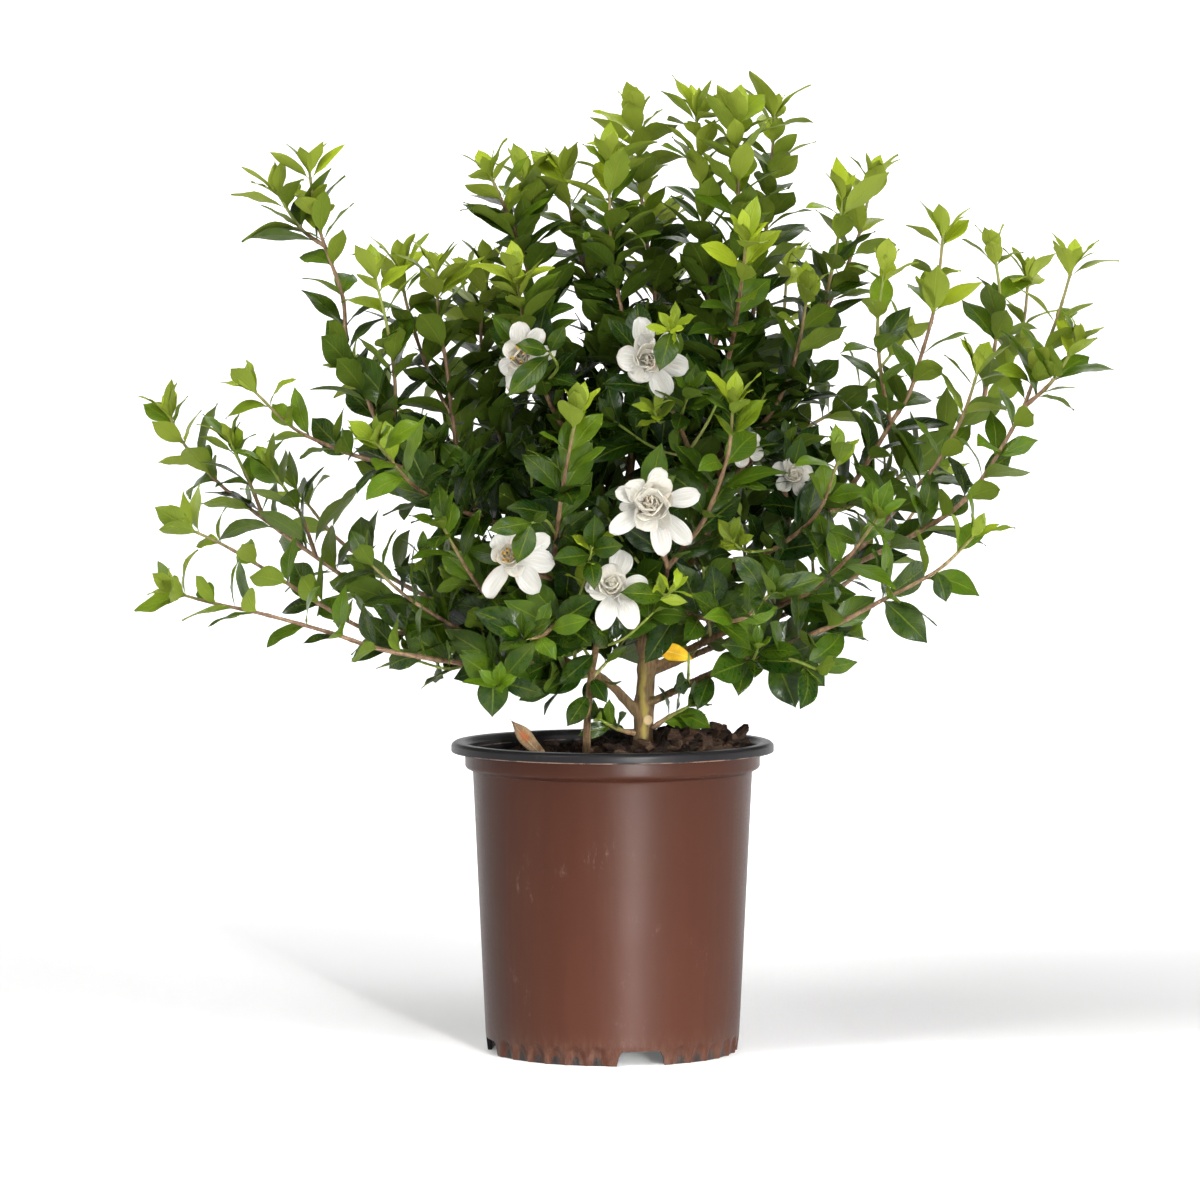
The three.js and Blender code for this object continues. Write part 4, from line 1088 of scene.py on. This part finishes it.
def add_tip_leaves(sheets, route, draw, size, most):
    """Four small upright leaves round a stem's tip, its brightest."""
    for j in range(4):
        azimuth = j * 1.57 + between(draw, -0.4, 0.4)
        blade = leaf_blade(route, 0.99, azimuth, draw, size * between(draw, 0.4, 0.62))
        blade["lift"] *= between(draw, 0.25, 0.6)
        if not hides_something(blade):
            add_leaf(sheets, blade, float(np.clip(1.25 * most + 0.15 * draw(), 0, 1)), draw)


def add_stem(sheets, route, thick, thin, woody, sides=10):
    """A green or browning stem with swollen nodes."""
    swells = max(3, round(route.length / SPACING))

    def radius(t):
        knob = math.exp(-(((t * swells) % 1 - 0.5) / 0.09) ** 2)
        return (thick + (thin - thick) * t) * (1 + 0.22 * knob)

    rings = max(12, round(route.length / 2.6))
    tones = np.zeros((rings * sides, 3))
    share = np.repeat(np.linspace(0, 1, rings), sides)
    tones[:, 0] = np.clip(woody * (1.2 - 0.75 * share), 0, 1)
    sheets.tube(route, radius, sides, rings, 0, tones)


def add_sprout(sheets, points, draw):
    """A thin new twig with a few small bright leaves."""
    route = Route(points)
    add_stem(sheets, route, 1.0, 0.7, 0.1)
    for j in range(8):
        size = 0.42 * between(draw, 0.8, 1.25)
        blade = leaf_blade(route, 0.55 + 0.44 * j / 7, j * 2.4, draw, size)
        turn_to_light(blade, 0.5, draw)
        add_leaf(sheets, blade, between(draw, 0.68, 0.88), draw, chance=0.2)


def shoot_piece(name, stems, number, materials):
    """A shoot's stems with the solids' leaves, the finer ones, and its own special ones."""
    sheets = Sheets()
    short = name.replace("shoot_", "")
    size = LEAF_SIZES.get(short, 1.0)
    carrier = "bloom" in name
    for fork, points in enumerate(stems):
        route = Route(points)
        far = np.linalg.norm(from_middle(np.array(points[0])))
        woody = 0.95 if route.length > 100 and fork == 0 else 0.6 + 0.2 * (far < 0.5)
        foot, end = FORK_RADIUS if fork else STEM_RADIUS, STALK_END if carrier else TIP_RADIUS
        add_stem(sheets, route, foot, end, woody)
        seed = 1000 * number + 100 * fork
        add_solid_leaves(sheets, route, LEAF_SEED + seed, size, carrier)
        if carrier:
            add_fine_leaves(sheets, route, seed, 0.9, spacing=22, most=0.2)
        else:
            bare = short == "left_lowest" and fork == 1
            spacing = BARE_SPACING if bare else SPARSE.get(short, SPACING)
            add_fine_leaves(sheets, route, seed, size, spacing=spacing)
    draw = draws(SHOOT_DETAIL_SEED + number)
    for leaf in [*LARGE_LEAVES.get(short, []), *SCENE_LEAVES.get(short, [])]:
        root = Route(stems[leaf["stem"]]).at(leaf["at"])
        hang_leaf(sheets, root, leaf["tip"], leaf["width"], 0.1, draw, rows=24, cols=13)
    for points in SPROUTS.get(short, []):
        add_sprout(sheets, points, draw)
    for points, new_stem, leaves in CROSSING.get(short, []):
        route = Route(points)
        if new_stem:
            add_stem(sheets, route, 1.1, 0.8, 0.3)
        for at, tip, width in leaves:
            hang_leaf(sheets, route.at(at), tip, width, 0.15, draw)
    return dress(sheets.piece(f"{name}_dressed", materials), "leaf_green", name)


def limb_twig(limb, t, turn, draw):
    """A short twig that bows upwards from a limb."""
    run, first, second = limb.square(t)
    out = unit(swing(first, second, turn) + 0.6 * UP + 0.3 * run)
    length = between(draw, *TWIG_LENGTHS)
    foot = limb.at(t)
    bow = unit(out + 0.5 * UP)
    return Route([foot, foot + out * length * 0.45, foot + out * length * 0.6 + bow * length * 0.4])


def limb_leaves(materials):
    """Leafy twigs along the woody limbs inside the bush, with older, darker leaves."""
    sheets = Sheets()
    for number, (_, _, points) in enumerate([*LIMBS[1:], SECOND_STEM]):
        limb = Route(points)
        draw = draws(TWIG_SEED + number)
        twigs = max(2, round(limb.length / TWIG_GAP))
        for k in range(twigs):
            t = min(0.25 + 0.75 * (k + draw()) / twigs, 0.99)
            twig = limb_twig(limb, t, k * 2.4 + between(draw, -0.5, 0.5), draw)
            x, _, z = twig.at(1)
            low = min(limb.at(t)[2], z) < LOWEST_TWIG
            bare = k % 3 and x > BARE_RIGHT and z < BARE_TOP
            if low or bare or depth_inside(twig.at(1)) < 0.1:
                continue
            add_stem(sheets, twig, 1.3, 0.8, 0.4)
            seed = TWIG_LEAF_SEED + 100 * number + k
            add_fine_leaves(sheets, twig, seed, 0.95, start=0.15, spacing=13.0, most=0.25)
    draw = draws(HANGING_LEAF_SEED)
    for number, at, tip in HANGING_LEAVES:
        _, _, points = SECOND_STEM if number is None else LIMBS[number]
        hang_leaf(sheets, Route(points).at(at), tip, between(draw, 0.42, 0.55), 0.1, draw)
    return dress(sheets.piece("limb_leaves", materials), "leaf_green")


def single_leaf(spec, name, material, slot, node, stalk=None):
    """One dying leaf, with a leafstalk where it hangs from one."""
    blade = hanging_blade(**spec)
    sheets = Sheets()
    tone = np.array([0.5, 0.6, 0.0])
    shape = {"fold": 0.3, "wave": {"count": 2.0, "phase": 1.0, "size": 0.9}}
    thickness = DYING_LEAF_THICKNESS
    add_blade(sheets, blade, leaf_outline, tone, (0, 0), shape, thickness, rows=24, cols=13)
    if stalk:
        root = blade["root"]
        bow = (np.array(stalk) + root) / 2 + np.array([0, -0.6, 0.4])
        route = Route([stalk, bow, root + blade["along"] * 4])
        sheets.tube(route, lambda t: 0.8 - 0.2 * t, 8, 10, 0, tone)
    return dress(sheets.piece(name, [material]), slot, node)


# ---- blooms


def petal_outline(s):
    """Half width of a petal: narrow at the root, broad and round at the tip."""
    s = np.clip(s, 0, 1)
    spoon = np.sin(math.pi * 0.5 * np.minimum(1, s * 1.4)) ** 1.7 - 0.3 * s**5
    return spoon * np.sqrt(np.clip(1 - s**9, 0, 1)) + 0.02


def anther(t):
    """Radius of a stamen: a thin filament with a thicker end."""
    return 0.5 + 0.5 * float(smooth(0.55, 0.7, t))


def add_stamens(sheets, number, foot, axis, left, down, draw):
    """Stamens that lean out round a bloom's axis."""
    for k in range(number):
        lean = between(draw, 0.25, 0.7)
        out = swing(left, down, k * 2 * math.pi / number + draw())
        tip = foot + swing(axis, out, lean) * between(draw, 11, 14)
        stamen = Route([foot, (foot + tip) / 2 + out * 0.8, tip])
        sheets.tube(stamen, anther, 8, 12, 2, np.zeros(3))


def add_receptacle(sheets, middle, axis):
    """The green swelling that carries the petals."""
    core = bmesh.new()
    bmesh.ops.create_uvsphere(core, u_segments=16, v_segments=10, radius=RECEPTACLE * 0.9)
    places = np.array([v.co for v in core.verts]) + middle - axis * 0.8
    faces = [[v.index for v in f.verts] for f in core.faces]
    sheets.solid(places, faces, 1, np.array([0.2, 0.5, 0.0]))
    core.free()


def bloom_piece(name, bloom, seed, materials):
    """A bloom: the solids' petals in their places, more of them inside, stamens and calyx."""
    draw, own = draws(seed), draws(seed + EXTRA_PETAL_SEED)
    middle, axis = np.array(bloom["centre"], float), unit(bloom["facing"])
    left = unit(np.cross(axis, UP))
    down = np.cross(axis, left)
    sheets = Sheets()

    def petal(clock, length, width, lift, bend, fold, depth, loose=1.0, curl=0.0):
        out = swing(-down, -left, clock * DEGREE)
        blade = {
            "root": middle, "along": axis, "out": out, "length": length, "width": width / length,
            "lift": lift * DEGREE, "bend": bend * DEGREE, "roll": 13 * DEGREE,
            "curl": curl + (loose - 1) * between(own, -0.2, 0.2),
            "twist": loose * between(own, -0.32, 0.32),
        }
        wave = ripples(own, (0.8, 1.9), (0.8, 2.0))
        wave["size"] = loose * wave["size"] * min(1, length / 24)
        cup = fold * 1.2 + between(own, -0.05, 0.2) * loose
        shape = {"fold": fold * 0.4, "wave": wave, "cup": cup}
        tone = np.array([depth, own(), 0.0])
        add_blade(sheets, blade, petal_outline, tone, (0, 0), shape, PETAL_THICKNESS, 17, 13)

    def ring(count, length, form, steps, loose=0.8):
        lift, bend, fold, depth = form
        start = between(steps, 0, 360)
        for k in range(count):
            clock = start + (k + between(steps, -0.1, 0.1)) * 360 / count
            raised = lift + loose * between(own, -6, 6)
            petal(clock, length, 0.95 * length, raised, bend, fold, depth, loose)

    for clock, length, width in bloom["petals"]:
        lift = between(draw, 70, 82)
        curl = -between(own, -0.04, 0.16)
        petal(clock, length * 1.02, width * 1.05, lift, 20, 0.12, 0.0, curl=curl)
    for layer, form in SOLID_RINGS.items():
        ring(*bloom[layer], form, draw)
    for layer, more, share, form, loose in SCENE_RINGS:
        count, length = bloom[layer]
        ring(max(3, count + more), share * length, form, own, loose)
    add_stamens(sheets, bloom.get("stamens", 0), middle + axis * 4, axis, left, down, own)
    add_receptacle(sheets, middle, axis)
    return dress(sheets.piece(f"{name}_petals", materials), "petal_white", name)


# ---- pot


def wall_radius(z):
    """Outer radius of the pot's tapering wall at a height."""
    share = min(1.0, max(0.0, z / SHOULDER))
    return FOOT_RADIUS + 1 + share * (SHOULDER_RADIUS - FOOT_RADIUS - 1)


def rounded(points, radius, steps=5):
    """A profile with its corners rounded off."""
    points = [np.array(p, float) for p in points]
    out = [points[0]]
    for before, corner, after in zip(points, points[1:], points[2:]):
        a, b = before - corner, after - corner
        cut = min(radius, 0.42 * np.linalg.norm(a), 0.42 * np.linalg.norm(b))
        start, end = corner + unit(a) * cut, corner + unit(b) * cut
        for w in np.linspace(0, 1, steps):
            out.append((1 - w) ** 2 * start + 2 * w * (1 - w) * corner + w * w * end)
    out.append(points[-1])
    return out


def finer(points):
    """The same profile with its long stretches cut up, the heel's the most."""
    out = [points[0]]
    for a, b in zip(points, points[1:]):
        if a[1] < 20 and b[1] > POT_FLOOR and b[0] > FOOT_RADIUS:
            out.extend(a + (b - a) * k / 12 for k in range(1, 4))
            a = out[-1]
        heel = max(a[1], b[1]) < 24 and min(a[0], b[0]) > FOOT_RADIUS - 1
        longest = HEEL_RING if heel else WIDEST_RING
        parts = max(1, math.ceil(float(np.linalg.norm(b - a)) / longest))
        out.extend(a + (b - a) * k / parts for k in range(1, parts + 1))
    return out


def pot_profile():
    """Radius and height from the middle of the underside, round the lip and back in."""
    lip_bottom = POT_HEIGHT - LIP_DROP
    inner = wall_radius(SHOULDER) - WALL
    return [
        (0, POT_FLOOR), (FOOT_RADIUS - FOOT_WALL - 0.6, POT_FLOOR), (FOOT_RADIUS - FOOT_WALL, 0),
        (FOOT_RADIUS, 0), (wall_radius(POT_FLOOR), POT_FLOOR), (SHOULDER_RADIUS, SHOULDER + 1),
        (COLLAR_RADIUS - 1.2, COLLAR_BOTTOM - 0.6), (COLLAR_RADIUS, COLLAR_BOTTOM + 1),
        (COLLAR_RADIUS, POT_HEIGHT - WALL - 0.6), (LIP_RADIUS - WALL - 0.4, POT_HEIGHT - WALL - 0.6),
        (LIP_RADIUS - WALL, lip_bottom), (LIP_RADIUS, lip_bottom), (LIP_RADIUS, POT_HEIGHT - 2),
        (LIP_RADIUS - 2.4, POT_HEIGHT), (COLLAR_RADIUS + 1.8, POT_HEIGHT),
        (COLLAR_RADIUS - WALL, POT_HEIGHT - 3.4), (COLLAR_RADIUS - WALL, COLLAR_BOTTOM + 1),
        (inner, SHOULDER - 0.4), (wall_radius(POT_FLOOR + 4) - WALL, POT_FLOOR + WALL + 2),
        (wall_radius(POT_FLOOR) - WALL - 2, POT_FLOOR + WALL), (0, POT_FLOOR + WALL),
    ]


def flute_dip(angle, z, radius):
    """How far a heel flute, a rounded arch, presses the outer wall in."""
    quarter = (math.degrees(angle) - NOTCH_FIRST - 45) % 90
    aside = (quarter + 45) % 90 - 45
    within = (aside % FLUTE_STEP) / FLUTE_STEP - 0.5
    outside = z > FLUTE_TOP or radius < FOOT_RADIUS - 1
    if outside or abs(aside) > FLUTE_FIELD or abs(within) > FLUTE_HALF:
        return 0.0
    arch = math.sqrt(1 - (within / FLUTE_HALF) ** 2)
    top = 4 + 10.5 * arch
    return FLUTE_DEPTH * arch * min(1.0, (top - z) / 3.5) if z < top else 0.0


def pot_shell():
    """The pot's profile turned about its axis, its heel pressed in by the flutes."""
    places, rings = [], []
    for radius, z in finer(rounded(pot_profile(), CORNER)):
        sides = POT_SIDES if radius > 1e-6 else 1
        rings.append([len(places) + k for k in range(sides)])
        for k in range(sides):
            angle = 2 * math.pi * k / POT_SIDES
            r = (radius - flute_dip(angle, z, radius)) * MM
            places.append((r * math.cos(angle), r * math.sin(angle), z * MM))
    faces = []
    for low, high in zip(rings, rings[1:]):
        for k in range(POT_SIDES):
            j = (k + 1) % POT_SIDES
            corners = (low[k % len(low)], low[j % len(low)], high[j % len(high)], high[k % len(high)])
            faces.append(list(dict.fromkeys(corners)))
    return closed_object("pot_shell", places, faces)


def block_between(rows, turn):
    """A closed solid between two outlines, turned about the pot's axis."""
    rows = turned(np.array(rows, float), turn)
    n = rows.shape[1]
    sides = [(k, (k + 1) % n, n + (k + 1) % n, n + k) for k in range(n)]
    faces = [tuple(range(n))[::-1], tuple(range(n, 2 * n)), *sides]
    return closed_object("cutter", rows.reshape(-1, 3) * MM, faces)


def notch_block(turn):
    """The rounded block that one drain notch takes out of the foot ring."""
    half, corner = NOTCH_WIDTH / 2, 3.4
    shoulder = NOTCH_HEIGHT - corner
    outline = [(-half, -2), (half, -2), (half - 2, shoulder)]
    for w in np.linspace(0, math.pi / 2, 7):
        outline.append((half - 2.4 - corner + corner * math.cos(w), shoulder + corner * math.sin(w)))
    outline += [(-x, z) for x, z in reversed(outline[3:])] + [(2 - half, shoulder)]
    depths = (FOOT_RADIUS - 20, FOOT_RADIUS + 12)
    return block_between([[(r, x, z) for x, z in outline] for r in depths], turn)


def drain_rod(turn):
    """The round rod that one drain hole takes out of the floor."""
    angles = np.linspace(0, 2 * math.pi, 40, endpoint=False)
    ring = [(DRAIN_RING + DRAIN_RADIUS * math.cos(a), DRAIN_RADIUS * math.sin(a)) for a in angles]
    heights = (POT_FLOOR - 4, POT_FLOOR + 6)
    return block_between([[(x, y, z) for x, y in ring] for z in heights], turn)


def pot_piece():
    """The pot with its notches and drain holes, brown outside, black at the lip and inside."""
    shell = pot_shell()
    cutters = []
    for quarter in range(4):
        turn = (NOTCH_FIRST + 90 * quarter) * DEGREE
        cutters += [notch_block(turn), drain_rod(turn)]
    for cutter in cutters:
        cut = shell.modifiers.new("cut", "BOOLEAN")
        cut.operation, cut.solver, cut.object = "DIFFERENCE", "EXACT", cutter
    settled = apply_modifiers(shell)
    for cutter in cutters:
        bpy.data.objects.remove(cutter)
    brown = plastic_material("brown_plastic", rgb(52, 26, 16), rgb(62, 34, 23), 0.34)
    black = plastic_material("black_plastic", rgb(22, 21, 23), rgb(36, 33, 34), 0.36, rim_line=True)
    settled.materials.append(brown)
    settled.materials.append(black)
    for face in settled.polygons:
        centre = face.center / MM
        radius = math.hypot(centre.x, centre.y)
        outward = face.normal.x * centre.x + face.normal.y * centre.y
        outer = centre.z < BLACK_FROM and radius > wall_radius(centre.z) - 3 and outward > 0
        face.material_index = OUTSIDE if outer else INSIDE
    settled.shade_smooth()
    settled.set_sharp_from_angle(angle=SHARP_EDGE * DEGREE)
    return dress(shell, "pot_plastic", "pot")


# ---- potting mix


def mix_top(x, y):
    """The mulch's height: low at the left, heaped at the right, a little raised behind."""
    rise = smooth(-45, 65, x)
    edge = smooth(70, 108, np.hypot(x, y))
    uneven = 1.8 * np.sin(np.asarray(x) / 11 + 1) * np.cos(np.asarray(y) / 13)
    uneven = uneven + 1.2 * np.sin((x + y) / 6)
    back = 4.5 * smooth(5, 75, y) * (1 - rise)
    return MIX_LOW + MIX_HEAP * rise * (1 - 0.35 * edge) + uneven * (1 - 0.6 * edge) + back


def crumbs(x, y):
    """The fine unevenness of the mulch's top."""
    here = Vector((x * 0.055, y * 0.055, 0.3))
    fine = Vector((x * 0.22, y * 0.22, 4.1))
    return 2.6 * noise.noise(here) + 1.5 * noise.noise(fine)


def chip(sheets, draw, place, size, lift=0.0, pale=None, steep=1.0):
    """One torn flake of bark: a jagged slab lying on the mulch."""
    length, wide, thick = (size * between(draw, *span) for span in CHIP_SPANS)
    n = CHIP_CORNERS
    turns = [2 * math.pi * (k + between(draw, -0.3, 0.3)) / n for k in range(n)]
    reach = [between(draw, 0.7, 1.08) for _ in range(n)]
    rim = [
        (0.5 * length * r * math.cos(a), 0.5 * wide * r * math.sin(a)) for a, r in zip(turns, reach)
    ]
    top = [(px * 0.88, py * 0.84, 0.5 * thick * between(draw, 0.6, 1.2)) for px, py in rim]
    low = [(px, py, -0.5 * thick) for px, py in rim]
    places = np.array([*top, *low, (0, 0, 0.55 * thick), (0, 0, -0.5 * thick)])
    tilt, lean = between(draw, -0.55, 0.55), between(draw, -0.4, 0.4)
    turn = between(draw, 0, 6.28)
    up = Vector((math.sin(steep * tilt), math.sin(steep * lean), 1 / steep)).normalized()
    places = places @ np.array(Vector((0, 0, 1)).rotation_difference(up).to_matrix()).T
    x, y = place
    z = float(mix_top(x, y)) + crumbs(x, y) + between(draw, -0.6, 1.8) + lift
    places = turned(places, turn) + np.array([x, y, z])
    if np.hypot(places[:, 0], places[:, 1]).max() > COLLAR_RADIUS - WALL - 1.5:
        return
    for sx, sy, clear in STEMS_IN_MIX:
        if np.hypot(places[:, 0] - sx, places[:, 1] - sy).min() < clear:
            return
    pairs = [(k, (k + 1) % n) for k in range(n)]
    faces = [(k, j, 2 * n) for k, j in pairs]
    faces += [(j, k, n + k, n + j) for k, j in pairs]
    faces += [(n + j, n + k, 2 * n + 1) for k, j in pairs]
    shade = pale if pale is not None else between(draw, 0, 1) ** 2.2
    sheets.solid(places, faces, 0, np.array([shade, draw(), 0.0]))


def mix_rows():
    """Rings of places over the mulch's top, down the pot's wall and in across its floor."""
    turns = np.linspace(0, 2 * math.pi, MIX_SIDES, endpoint=False)
    rim = COLLAR_RADIUS - WALL - 0.4
    rows = []
    for r in np.linspace(0.01, rim, 90):
        x, y = r * np.cos(turns), r * np.sin(turns)
        fine = np.array([crumbs(a, b) for a, b in zip(x, y)])
        fine = fine * (1 - 0.5 * float(smooth(95, 107, r)))
        rows.append(np.stack([x, y, mix_top(x, y) + fine - 1.2], axis=-1))
    side = [
        (rim - 0.2, COLLAR_BOTTOM + 1.2), (wall_radius(SHOULDER) - WALL - 0.5, SHOULDER - 0.4),
        (wall_radius(60) - WALL - 0.5, 60),
        (wall_radius(POT_FLOOR + 4) - WALL - 0.6, POT_FLOOR + WALL + 2.6),
        (wall_radius(POT_FLOOR) - WALL - 2.5, POT_FLOOR + WALL + 0.4), (0.01, POT_FLOOR + WALL + 0.4),
    ]
    for r, z in side:
        rows.append(np.stack([r * np.cos(turns), r * np.sin(turns), np.full_like(turns, z)], axis=-1))
    return np.array(rows)


def spot(draw, reach, inner, turns):
    """A random place on the mulch, from a share of its reach outwards."""
    radius, turn = reach * math.sqrt(between(draw, inner, 1)), between(draw, *turns)
    return radius * math.cos(turn), radius * math.sin(turn)


def soil_piece():
    """The mix with its loose bark chips."""
    sheets = Sheets()
    rows = mix_rows()
    shades = np.zeros((rows.shape[0] * rows.shape[1], 3))
    blotches = [0.25 + 0.5 * noise.noise(Vector(p) * 0.12) for p in rows.reshape(-1, 3)]
    shades[:, 0] = np.clip(blotches, 0, 1)
    sheets.grid(rows, 0, shades, wrap=True, flip=True)
    draw = draws(MULCH_SEED)
    for _ in range(CHIPS):
        place = spot(draw, 107, 0, (0, 2 * math.pi))
        chip(sheets, draw, place, between(draw, 0.3, 1.0))
    for _ in range(BIG_FLAKES):
        chip(sheets, draw, spot(draw, 98, 0.2, (-2.0, 0.9)), 1.3, lift=3.0, steep=2.2)
    for place in MARKED_CHIPS:
        chip(sheets, draw, place, 1.5, lift=3.0, pale=0.55)
    mulch = sheets.piece("bark_mulch", [mulch_material()], flat=True)
    return dress(mulch, "potting_mix", "soil")


# ---- wood


def limb_radius(route, thick, thin):
    """How a limb thins, with lumps along it and, if it is thick, a flare at its foot."""
    flare = 1.3 if thick > 6 else 0.0

    def radius(t):
        lumps = 0.05 * math.sin(t * route.length / 7 + thick * 7)
        lumps = lumps + 0.03 * math.sin(t * route.length / 3.1)
        return (thick + (thin - thick) * t) * (1 + lumps) + flare * (1 - t) ** 6

    return radius


def limb_object(name, limbs, cell, material):
    """Limbs swept along their routes and grown together into one skin of bark."""
    sheets = Sheets()
    for thick, thin, points in limbs:
        route = Route(points)
        rings = max(10, round(route.length / 3))
        sides = 28 if thick > 4 else 14
        rows = tube(route, limb_radius(route, thick, thin), sides, rings)
        start, end = (np.repeat(route.at(t)[None, None], sides, axis=1) for t in (0, 1))
        sheets.grid(np.concatenate([start, rows, end]), 0, np.zeros(3), wrap=True)
    shown = sheets.piece(name, [])
    weld = shown.modifiers.new("weld", "WELD")
    weld.merge_threshold = 1e-6
    skin = shown.modifiers.new("skin", "REMESH")
    skin.mode, skin.voxel_size = "VOXEL", cell * MM
    ease = shown.modifiers.new("ease", "SMOOTH")
    ease.factor, ease.iterations = 0.5, 5
    apply_modifiers(shown)
    shown.data.materials.clear()
    shown.data.materials.append(material)
    return shown


def roughen(mesh):
    """Lengthwise ridges and leaf scars low on the trunk, and the raised rim of its knot."""
    places, normals = np.zeros(len(mesh.vertices) * 3), np.zeros(len(mesh.vertices) * 3)
    mesh.vertices.foreach_get("co", places)
    mesh.vertices.foreach_get("normal", normals)
    places, normals = places.reshape(-1, 3) / MM, normals.reshape(-1, 3)
    height = places[:, 2]
    low = 1 - smooth(300, 345, height)
    ridges = np.array([noise.noise(Vector((x * 0.5, y * 0.5, z * 0.06))) for x, y, z in places])
    scars = sum(np.exp(-(((height - z) / 3.5) ** 2)) for z in SCARS) * (height < 300)
    gap = np.linalg.norm(places - np.array(KNOT), axis=1)
    knot = 0.9 * np.exp(-(((gap - 3.2) / 1.3) ** 2))
    places = places + normals * (low * (0.35 * ridges + 0.5 * scars) + knot)[:, None]
    mesh.vertices.foreach_set("co", (places * MM).ravel())
    mesh.update()


def trunk_piece(material):
    """The trunk with its fork and its limbs."""
    trunk = limb_object("trunk_bark", LIMBS, BARK_CELL, material)
    roughen(trunk.data)
    trunk.data.shade_smooth()
    return dress(trunk, "bark", "trunk")


def second_stem_piece(material):
    """The thinner stem that rises left of the trunk."""
    stem = limb_object("second_stem_bark", [SECOND_STEM], THIN_BARK_CELL, material)
    stem.data.shade_smooth()
    return dress(stem, "bark", "second_stem")


# ---- the plant


def carrier_route(bloom):
    """The route of the shoot that carries a bloom, up to the bloom's back."""
    axis, centre = unit(bloom["facing"]), np.array(bloom["centre"], float)
    return [*bloom["route"], (centre - axis * 26).tolist(), (centre - axis * 6.3).tolist()]


def plant():
    """The pot, the mix, the wood, the dying leaves, the shoots and the blooms."""
    top = leaf_material(
        "leaf_upper", rgb(14, 40, 4), rgb(78, 108, 12), rgb(154, 170, 34), 0.28, 0.22, 1.0
    )
    under = leaf_material(
        "leaf_lower", rgb(74, 98, 26), rgb(118, 138, 42), rgb(158, 172, 60), 0.5, 0.25, -0.8
    )
    foliage = [stem_material(), top, under]
    bloom_materials = [petal_material(), calyx_material(), stamen_material()]
    bark = bark_material()
    pot_piece()
    soil_piece()
    trunk_piece(bark)
    second_stem_piece(bark)
    yellow = dying_leaf_material(
        "yellow_leaf", rgb(250, 206, 44), rgb(240, 176, 34), rgb(252, 228, 130), 0.5, 0.15
    )
    dry = dying_leaf_material(
        "dry_leaf", rgb(150, 126, 94), rgb(104, 76, 50), rgb(186, 164, 130), 0.8, 0.7
    )
    single_leaf(YELLOW_LEAF, "yellow_leaf_blade", yellow, "leaf_yellow", "yellow_leaf", YELLOW_STALK)
    single_leaf(DRY_LEAF, "dry_leaf_blade", dry, "leaf_dry", "dry_leaf")
    shoots = {f"shoot_{name}": stems for name, stems in SHOOTS.items()}
    for name, bloom in BLOOMS.items():
        shoots[f"shoot_{name}"] = [carrier_route(bloom)]
    for number, (name, stems) in enumerate(shoots.items()):
        shoot_piece(name, stems, number, foliage)
    limb_leaves(foliage)
    for number, (name, bloom) in enumerate(BLOOMS.items()):
        bloom_piece(name, bloom, BLOOM_SEED + number, bloom_materials)


# ---- floor, light and camera


def stage_white():
    """Matt white, lit from within towards its outer wall so that every view has a pale ground."""
    s = Shader("studio_white", roughness=0.7, specular=0.2)
    out = s.distance((0.0, 0.0, 0.0))
    s.set(Base_Color=s.mix(s.noise(3.0, 2.0), (0.88, 0.88, 0.88), (0.9, 0.9, 0.9)))
    s.set(Emission_Color=(1.0, 1.0, 1.0), Emission_Strength=s.step(out, 0.3, 2.0, 0.12, 0.85))
    return s.material


def stage_floor():
    """A round white floor that curves up into a low wall all round."""
    turns = np.linspace(0, 2 * math.pi, FLOOR_SIDES, endpoint=False)
    profile = [(r, 0.0) for r in FLOOR_RINGS]
    edge = FLOOR_RINGS[-1]
    for a in np.linspace(0.15, math.pi / 2, 12):
        profile.append((edge + FLOOR_CURVE * math.sin(a), FLOOR_CURVE - FLOOR_CURVE * math.cos(a)))
    profile.append((edge + FLOOR_CURVE, FLOOR_WALL))
    places = [(r * math.cos(a), r * math.sin(a), z) for r, z in profile for a in turns]
    faces = []
    for low in range(0, FLOOR_SIDES * (len(profile) - 1), FLOOR_SIDES):
        high = low + FLOOR_SIDES
        for j in range(FLOOR_SIDES):
            i = (j + 1) % FLOOR_SIDES
            faces.append((low + j, high + j, high + i, low + i))
    faces.append(tuple(range(FLOOR_SIDES)))
    mesh = bpy.data.meshes.new("studio_floor")
    mesh.from_pydata(places, [], faces)
    mesh.shade_smooth()
    mesh.materials.append(stage_white())
    new_object("studio_floor", mesh)


def aim(shown, place, target):
    """Puts a lamp or the camera at a place and turns it to its target."""
    shown.location = place
    shown.rotation_euler = (Vector(target) - Vector(place)).to_track_quat("-Z", "Y").to_euler()


def studio():
    """Floor, sky and lamps."""
    stage_floor()
    world = bpy.data.worlds.new("studio")
    world.use_nodes = True
    sky = world.node_tree.nodes["Background"]
    sky.inputs[0].default_value = (1, 1, 1, 1)
    sky.inputs[1].default_value = SKY_LIGHT
    bpy.context.scene.world = world
    for name, (place, target, size, power, spread) in LIGHTS.items():
        lamp = bpy.data.lights.new(name, "AREA")
        lamp.shape, lamp.size, lamp.size_y, lamp.energy = "RECTANGLE", size[0], size[1], power
        lamp.spread = spread * DEGREE
        aim(new_object(name, lamp), place, target)
    bpy.context.scene.view_settings.view_transform = "Standard"


def camera():
    """The camera where the photograph was taken from."""
    lens = bpy.data.cameras.new("photo_view")
    lens.lens, lens.sensor_width, lens.clip_end = FOCAL_LENGTH, FILM_WIDTH, FARTHEST
    shown = new_object("photo_view", lens)
    aim(shown, EYE, LOOKED_AT)
    bpy.context.scene.camera = shown


plant()
studio()
camera()
